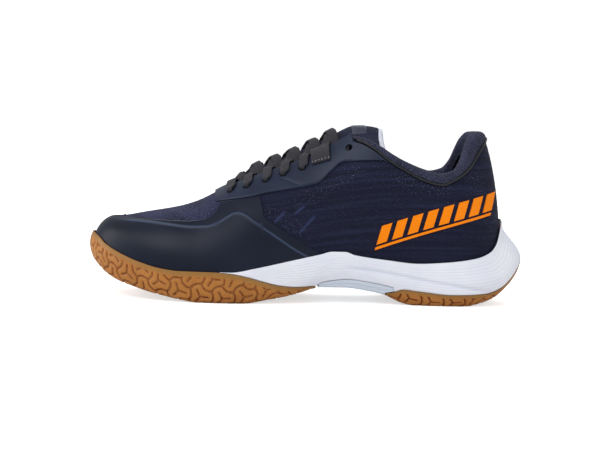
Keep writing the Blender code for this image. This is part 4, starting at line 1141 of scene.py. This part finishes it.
def tonguePoint(x, across, depth):
    x, across, depth = np.broadcast_arrays(np.asarray(x, float), across, depth)
    lateral = across <= 0
    row = np.where(lateral, rowsAt(x), 2 - rowsAt(x))
    edge, top, _, _, power = station(row, tongueCrestHigh)
    width = np.abs(edge[..., 1] - top[..., 1])
    offset = np.abs(across) * np.minimum(tongueHalf(x), 0.56 * width)
    rise = (1 - (offset / width) ** power) ** (1 / power)
    turn = np.arcsin(np.minimum(rise, 1) ** (power / 2))
    point, normal = onLast(row, turn, tongueCrestHigh), outward(row, turn, tongueCrestHigh)
    facings = (outward(place, turn, tongueCrestHigh) for place in (rowsAt(x), 2 - rowsAt(x)))
    both = unit(sum(facings))
    normal = np.where((np.abs(across) < 0.02)[..., None], both, normal)
    throat = throatHalf(x) * np.where(lateral, 1, tongue["medialThroat"])
    sink = tongue["drop"] * np.minimum(1, offset / throat) ** 1.3
    sink = np.maximum(sink, 4.5 * np.clip((-47 - x) / 5, 0, 1))
    return point - normal * (sink + depth * (1 - 0.55 * np.abs(across) ** 3))[..., None]


def buildTongue():
    tones = shade(32, 34, 50), shade(52, 54, 76), shade(90, 92, 114)
    look = knitLook("tongueKnit", *tones, 1.8, 0.25)
    x = np.linspace(tongue["front"], tongue["rear"], 90)[:, None]
    across = np.linspace(-1, 1, 61)[None]
    # rounded at the sides and the rear, pressed in along two sewn channels
    side = np.sqrt(np.clip(1 - np.abs(across) ** 6, 0, 1))
    rear = np.sqrt(np.clip(1 - np.clip((x - 45) / 5, 0, 1) ** 2, 0, 1))
    front = np.sqrt(np.clip((x - tongue["front"]) / 4, 0, 1))
    full = side * rear * (0.35 + 0.65 * front)
    channel = np.exp(-(((np.abs(across) - 0.62) / 0.05) ** 2)) * 0.5
    half = tongue["thick"] / 2
    outer = tonguePoint(x, across, half - (half - channel) * full)
    inner = tonguePoint(x, across, half + (half - 0.1) * full)
    piece = wallSolid("tonguePad", outer, inner, look)
    finishPiece(piece, "tongue", "slate_knit", "tongue_face", "tongue_foam", "tongue_lining")

    white = plainLook("tongueBinding", shade(206, 208, 226), shade(228, 230, 242), 0.8)
    path = np.linspace(-0.93, 0.93, 60)[None]
    rings = []
    for share in np.linspace(0, 2 * math.pi, 14, endpoint=False):
        along = tongue["rear"] - 1.6 + 2.1 * math.cos(share)
        rings.append(tonguePoint(min(along, 51.5), path[0], half + (half + 0.35) * math.sin(share)))
    rings = np.stack(rings, 1)
    finishPiece(lofted("tongueBinding", rings, white), "tongue", "slate_knit")

    labelLook = plainLook("labelPrint", shade(44, 47, 66), shade(56, 59, 82), 0.5)
    start, end, half = label["from"], label["to"], label["half"]
    x = np.linspace(start, end, 16)[:, None]
    across = np.linspace(-half, half, 24)[None]
    beside = (x - (start + end) / 2) / ((end - start) / 2)
    puff = (1 - np.abs(across / half) ** 8) * (1 - np.abs(beside) ** 8)
    outer, inner = tonguePoint(x, across, -0.5 * puff - 0.1), tonguePoint(x, across, 0.3)
    piece = wallSolid("tongueLabelPatch", outer, inner, labelLook)
    finishPiece(piece, "tongue", "orange_print", "tongue_label")
    print("tongue made")


def floorAt(row, inset):
    edge, spine, low, _, _ = station(row)
    share = np.clip(inset / np.maximum(np.linalg.norm(spine - edge, axis=-1), 1e-6), 0, 1)
    return low + (featherHeight(spine[..., 0]) - low) * share


# each is the distances in from the edge of the last, and the heights over its floor there
insole = {
    "grid": 2.2,
    "top": ((6.95, 7.2, 8.2, 9.6, 11.9), (5.6, 6.4, 6.55, 6.1, 5.4)),
    "below": ((6.95, 8.5, 11.9), (2.4, 1.8, 1.2)),
}


def buildInsole():
    look = knitLook("insoleCloth", shade(36, 38, 50), shade(52, 55, 70), shade(84, 88, 108), 1.6, 0.3)
    rows = evenRows(0.0, 2.0, insole["grid"])
    edge, spine = station(rows)[:2]
    normal = planNormal(rows)
    reach = np.linalg.norm(spine - edge, axis=1)

    def layer(insets, rises):
        grid = []
        for inset, up in zip(insets, rises):
            inset = np.minimum(inset, reach)
            plan = edge - normal * inset[:, None]
            grid.append(np.concatenate([plan, (floorAt(rows, inset) + up)[:, None]], -1))
        for share in np.linspace(0, 1, 12)[1:]:
            rim = grid[len(insets) - 1]
            end = np.concatenate([spine, (featherHeight(spine[:, 0]) + rises[-1])[:, None]], -1)
            grid.append(rim + (end - rim) * share)
        return np.stack(grid, 1)

    top, below = layer(*insole["top"]), layer(*insole["below"])
    piece = wallSolid("insolePad", top, below, look, (True, False), ends=False)
    finishPiece(piece, "insole", "insole_foam", "insole")
    print("insole made")


# Lace

lace = {
    "wide": 6.5,
    "thick": 1.3,
    "over": 1.2,
    "under": -3.2,
    "clear": 1.8,
    "between": 7,  # rings from one place of the route to the next
    "around": 14,
}
laceTail = (
    (20, 102, -3.3), (22.5, 98.5, -4.5), (25, 94.5, -6.4), (27.5, 88.5, -7.1), (31, 80, -7.3),
    (35, 71, -7.5), (39, 63, -7.7)
)


def edgeSpot(x, side, depth):
    row = rowAt(x) if side == 0 else 2 - rowAt(x)
    turn = min(turnOn(row, throatLine) + 0.02, math.pi / 2)
    normal = outward(row, turn)
    return onLast(row, turn) + normal * depth, normal


def tongueTop(x, y):
    share = np.linspace(-0.9, 0.9, 13)
    place = np.full(13, float(x))
    for _ in range(3):
        place += x - tonguePoint(place, share, 0)[:, 0]
    across = tonguePoint(place, share, 0)
    return np.interp(y, across[:, 1], across[:, 2])


def crossing(k, side, layer):
    (fromX, fromZ), (toX, toZ) = eyelets[k], eyelets[k + 1]
    flat = (lace["wide"], lace["thick"])
    start = sideSpot(fromX + 1.2, fromZ + 2.6, side, lace["over"])
    startEdge = edgeSpot(fromX + 0.18 * (toX - fromX), side, lace["over"])
    endEdge = edgeSpot(toX - 0.2 * (toX - fromX), 1 - side, lace["under"])
    end = sideSpot(toX - 1.2, toZ + 2.4, 1 - side, lace["under"])
    found = [(*start, *flat), (*startEdge, *flat)]
    for t in (0.25, 0.5, 0.75):
        point = startEdge[0] + (endEdge[0] - startEdge[0]) * t
        lift = layer if t == 0.5 else layer * 0.5
        clearance = lace["clear"] + lace["thick"] / 2 + lift * (lace["thick"] + 0.5)
        x, y, z = point
        slopeX = (tongueTop(x + 3, y) - tongueTop(x - 3, y)) / 6
        slopeY = (tongueTop(x, y + 3) - tongueTop(x, y - 3)) / 6
        normal = np.array([-slopeX, -slopeY, 1.0])
        point[2] = max(z, tongueTop(x, y) + clearance * np.linalg.norm(normal))
        found.append((point, unit(normal), *flat))
    return found + [(*endEdge, *flat), (*end, *flat)]


def halfLace(side, layer):
    found = []
    folded = (3.6, 1.9)
    for k, (x, z) in enumerate(eyelets[:-1]):
        for depth in (lace["under"], -1.0, lace["over"]):
            found.append((*sideSpot(x, z, side, depth), *folded))
        found += crossing(k, side, (k + layer) % 2)
        side = 1 - side
    for x, z, depth in laceTail:
        found.append((*sideSpot(x, z, side, depth), 5.0, lace["thick"]))
    found[-1] = (*found[-1][:2], 2.4, lace["thick"])
    return found


def buildLace():
    lateral, medial = halfLace(0, 0), halfLace(1, 1)
    bar = []
    for y in (-0.5, 0.0, 0.5):
        point = onLast(rowAt(eyelets[0][0]), math.pi / 2)
        reach = sideSpot(*eyelets[0], 1 if y > 0 else 0, lace["under"])[0] - point
        drop = lace["under"] + (reach[2] - lace["under"]) * y * y
        place = point + np.array([0, reach[1] * abs(y), drop])
        bar.append((place, np.array([0.0, 0.0, 1.0]), 3.6, lace["thick"]))
    route = lateral[::-1] + bar + medial
    points = np.array([r[0] for r in route])
    facing = np.array([r[1] for r in route])
    size = np.array([r[2:] for r in route])
    steps = np.concatenate([[0], np.cumsum(np.linalg.norm(np.diff(points, axis=0), axis=1) ** 0.7)])
    spans = zip(steps, steps[1:])
    fine = [np.linspace(a, b, lace["between"], endpoint=False) for a, b in spans]
    fine = np.concatenate([*fine, steps[-1:]])
    tangents = np.gradient(points, steps, axis=0)
    i = np.clip(np.searchsorted(steps, fine, side="right") - 1, 0, len(steps) - 2)
    gap = (steps[i + 1] - steps[i])[:, None]
    t = ((fine - steps[i]) / gap[:, 0])[:, None]
    ends = points[i] * (1 + 2 * t) * (1 - t) ** 2 + points[i + 1] * t * t * (3 - 2 * t)
    line = ends + gap * t * (1 - t) * (tangents[i] * (1 - t) - tangents[i + 1] * t) * 0.8
    facing = facing[i] * (1 - t) + facing[i + 1] * t
    ease = t * t * (3 - 2 * t)
    size = size[i] * (1 - ease) + size[i + 1] * ease
    ahead = unit(np.gradient(line, axis=0))
    rings, previous = [], None
    angle = np.linspace(0, 2 * math.pi, lace["around"], endpoint=False)
    power = 0.55
    flatX = np.sign(np.cos(angle)) * np.abs(np.cos(angle)) ** power / 2
    flatY = np.sign(np.sin(angle)) * np.abs(np.sin(angle)) ** power / 2
    sides = []
    for k in range(len(line)):
        across = np.cross(ahead[k], facing[k])
        if previous is not None and np.linalg.norm(across) < 0.45:
            across = previous - ahead[k] * np.dot(previous, ahead[k])
        across = unit(across)
        if previous is not None and np.dot(across, previous) < 0:
            across = -across
        previous = across if previous is None else unit(previous * 0.45 + across * 0.55)
        sides.append(previous)
    for k, across in enumerate(sides):
        across = unit(across - ahead[k] * np.dot(across, ahead[k]))
        up = np.cross(across, ahead[k])
        wide, thick = size[k]
        ripple = 1 + 0.03 * math.sin(k * 0.9)
        rings.append(line[k] + np.outer(flatX * wide * ripple, across) + np.outer(flatY * thick, up))
    piece = lofted("laceBand", rings, laceLook(), sharp=80)
    finishPiece(piece, "shoe", "lace_weave", "lace")
    print("lace made")


# the heights are at x = 0, each with its slope
loop = {"span": (-0.2, 12.2), "foot": (93.6, 0.32), "head": (103.0, 0.42)}


def buildLaceTabs():
    look = laceLook()
    for side, name in enumerate(("lateral", "medial")):
        x = np.linspace(*loop["span"], 18)
        grids = []
        for depth in (1.6, 0.5):
            grid = []
            for place in x:
                low, high = (height + slope * place for height, slope in (loop["foot"], loop["head"]))
                column = []
                for share in np.linspace(0, 1, 14):
                    arch = math.sin(math.pi * share) ** 0.6 * (1.5 if depth > 1 else 1.2)
                    column.append(sideSpot(place, low + (high - low) * share, side, depth + arch)[0])
                grid.append(column)
            grids.append(np.array(grid))
        piece = wallSolid(f"laceLoop{name.title()}", *grids, look)
        finishPiece(piece, "shoe", "black_trim", f"lace_tab_{name}")
    print("lace loops made")


# Print on the heel

mark = {
    "bars": 8,
    "wide": 7.0,
    "gap": 3.6,
    "tall": 15.0,
    "lean": 4.5,
    "from": 43.0,
    "foot": 37.5,
    "rise": 0.36,
    "bend": 0.0006,
}


def buildHeelMark():
    look = Look("orangePrint", SpecularIORLevel=0.15)
    grain = look.noise(look.place(), 500.0, 3.0)
    look.set(BaseColor=look.mix(shade(255, 142, 0), shade(252, 132, 0), grain))
    look.set(Roughness=grain * 0.1 + 0.42)
    look.bump(grain, 0.0001, 0.4)

    def spot(along, up, depth):
        x = mark["from"] + along + up * mark["lean"]
        reach = x - mark["from"]
        z = mark["foot"] + mark["rise"] * reach - mark["bend"] * reach**2 + up * mark["tall"]
        return sideSpot(x, z, 0, depth)[0]

    pitch = mark["wide"] + mark["gap"]
    length = pitch * mark["bars"] - mark["gap"]
    strips = [(k * pitch, k * pitch + mark["wide"], 0.22, 1.0, 9, 12) for k in range(mark["bars"])]
    strips.append((0.0, length, 0.0, 0.12, 70, 4))
    made = []
    for number, (start, end, low, high, across, up) in enumerate(strips):
        grids = []
        for depth in (-0.55, -1.5):
            runs, rises = np.linspace(start, end, across), np.linspace(low, high, up)
            grids.append([[spot(a, u, depth) for u in rises] for a in runs])
        made.append(wallSolid(f"strip{number}", np.array(grids[0]), np.array(grids[1]), look))
    joined = bmesh.new()
    for strip in made:
        joined.from_mesh(strip.data)
        bpy.data.objects.remove(strip)
    mesh = bpy.data.meshes.new("heelMark")
    joined.to_mesh(mesh)
    joined.free()
    mesh.materials.append(look.material)
    piece = bpy.data.objects.new("heelMark", mesh)
    bpy.context.scene.collection.objects.link(piece)
    finishPiece(piece, "shoe", "orange_print", "heel_graphic")
    print("heel print made")


# Stitches, set along a line by geometry nodes

stitch = {"long": 2.2, "gap": 1.0, "thick": 0.38}


def stitchRow(name, line, look, body, slot, sizes=stitch):
    curve = bpy.data.curves.new(name, "CURVE")
    curve.dimensions = "3D"
    spline = curve.splines.new("POLY")
    spline.points.add(len(line) - 1)
    for point, place in zip(spline.points, (np.asarray(line) + middle) * mm):
        point.co = (*place, 1)
    source = bpy.data.objects.new(name, curve)
    bpy.context.scene.collection.objects.link(source)

    tree = bpy.data.node_groups.new(name, "GeometryNodeTree")
    tree.interface.new_socket("Geometry", in_out="INPUT", socket_type="NodeSocketGeometry")
    for title in ("Spacing", "Long", "Thick"):
        tree.interface.new_socket(title, in_out="INPUT", socket_type="NodeSocketFloat")
    tree.interface.new_socket("Geometry", in_out="OUTPUT", socket_type="NodeSocketGeometry")

    def node(kind, **links):
        made = tree.nodes.new(kind)
        for key, value in links.items():
            socket = made.inputs[key.replace("_", " ")]
            if isinstance(value, bpy.types.NodeSocket):
                tree.links.new(value, socket)
            else:
                socket.default_value = value
        return made

    given = tree.nodes.new("NodeGroupInput")
    spots = tree.nodes.new("GeometryNodeCurveToPoints")
    spots.mode = "LENGTH"
    tree.links.new(given.outputs["Geometry"], spots.inputs["Curve"])
    tree.links.new(given.outputs["Spacing"], spots.inputs["Length"])
    thread = node("GeometryNodeMeshUVSphere", Segments=6, Rings=5, Radius=0.5)
    wide, long = given.outputs["Thick"], given.outputs["Long"]
    size = node("ShaderNodeCombineXYZ", X=wide, Y=wide, Z=long)
    placed = node(
        "GeometryNodeInstanceOnPoints",
        Points=spots.outputs["Points"],
        Instance=thread.outputs["Mesh"],
        Rotation=spots.outputs["Rotation"],
        Scale=size.outputs["Vector"],
    )
    real = node("GeometryNodeRealizeInstances", Geometry=placed.outputs["Instances"])
    coated = node("GeometryNodeSetMaterial", Geometry=real.outputs["Geometry"], Material=look.material)
    smooth = node("GeometryNodeSetShadeSmooth", Geometry=coated.outputs["Geometry"])
    result = tree.nodes.new("NodeGroupOutput")
    tree.links.new(smooth.outputs[0], result.inputs[0])

    modifier = source.modifiers.new("stitches", "NODES")
    modifier.node_group = tree
    values = {"Spacing": sizes["long"] + sizes["gap"], "Long": sizes["long"], "Thick": sizes["thick"]}
    for item in tree.interface.items_tree:
        if item.in_out == "INPUT" and item.name in values:
            modifier[item.identifier] = values[item.name] * mm
    graph = bpy.context.evaluated_depsgraph_get()
    mesh = bpy.data.meshes.new_from_object(source.evaluated_get(graph))
    bpy.data.objects.remove(source)
    piece = bpy.data.objects.new(name, mesh)
    bpy.context.scene.collection.objects.link(piece)
    return finishPiece(piece, body, slot)


def buildStitches():
    pale = plainLook("paleThread", shade(150, 150, 158), shade(186, 186, 192), 0.8)
    dark = plainLook("darkThread", shade(30, 32, 44), shade(50, 54, 72), 0.8)
    tight = {"long": 1.1, "gap": 0.9, "thick": 0.5}
    for side, name in enumerate(("Lateral", "Medial")):
        bar = [sideSpot(x, 94.4 + 0.32 * x, side, 2.3)[0] for x in np.linspace(0.4, 11.6, 14)]
        stitchRow(f"barTack{name}", bar, pale, "shoe", "black_trim", tight)
        seam = [sideSpot(x, float(pipingLine(x)) - 4.5, side, 0.05)[0] for x in np.linspace(30, 48, 20)]
        stitchRow(f"eyestaySeam{name}", seam, dark, "shoe", "black_trim")
        across = -0.62 if side == 0 else 0.62
        quilt = [tonguePoint(x, across, 0.45) for x in np.linspace(-40, 46, 60)]
        stitchRow(f"tongueSeam{name}", quilt, dark, "tongue", "black_trim")
    print("stitches made")


# Inner CAD pieces that stay

def dressFrame():
    board = plainLook("fibreBoard", shade(176, 166, 148), shade(206, 198, 182), 0.9, 700.0)
    clear = plainLook("agletPlastic", shade(38, 38, 44), shade(56, 56, 62), 0.25, 200.0, 0.00005)
    looks = dict.fromkeys(("strobel_board", "toe_puff", "heel_counter"), board)
    looks |= dict.fromkeys(("aglet_1", "aglet_2"), clear)
    for name, look in looks.items():
        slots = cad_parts[name].data.materials
        slots.clear()
        slots.append(look.material)


stages = (
    buildStudio, buildOutsoles, buildMidsole, buildArchPiece, buildVamp, buildQuarter, buildToeGuard,
    buildEyestays, buildCollar, buildTongue, buildInsole, buildLace, buildLaceTabs, buildHeelMark,
    buildStitches, dressFrame,
)
for build in stages:
    build()
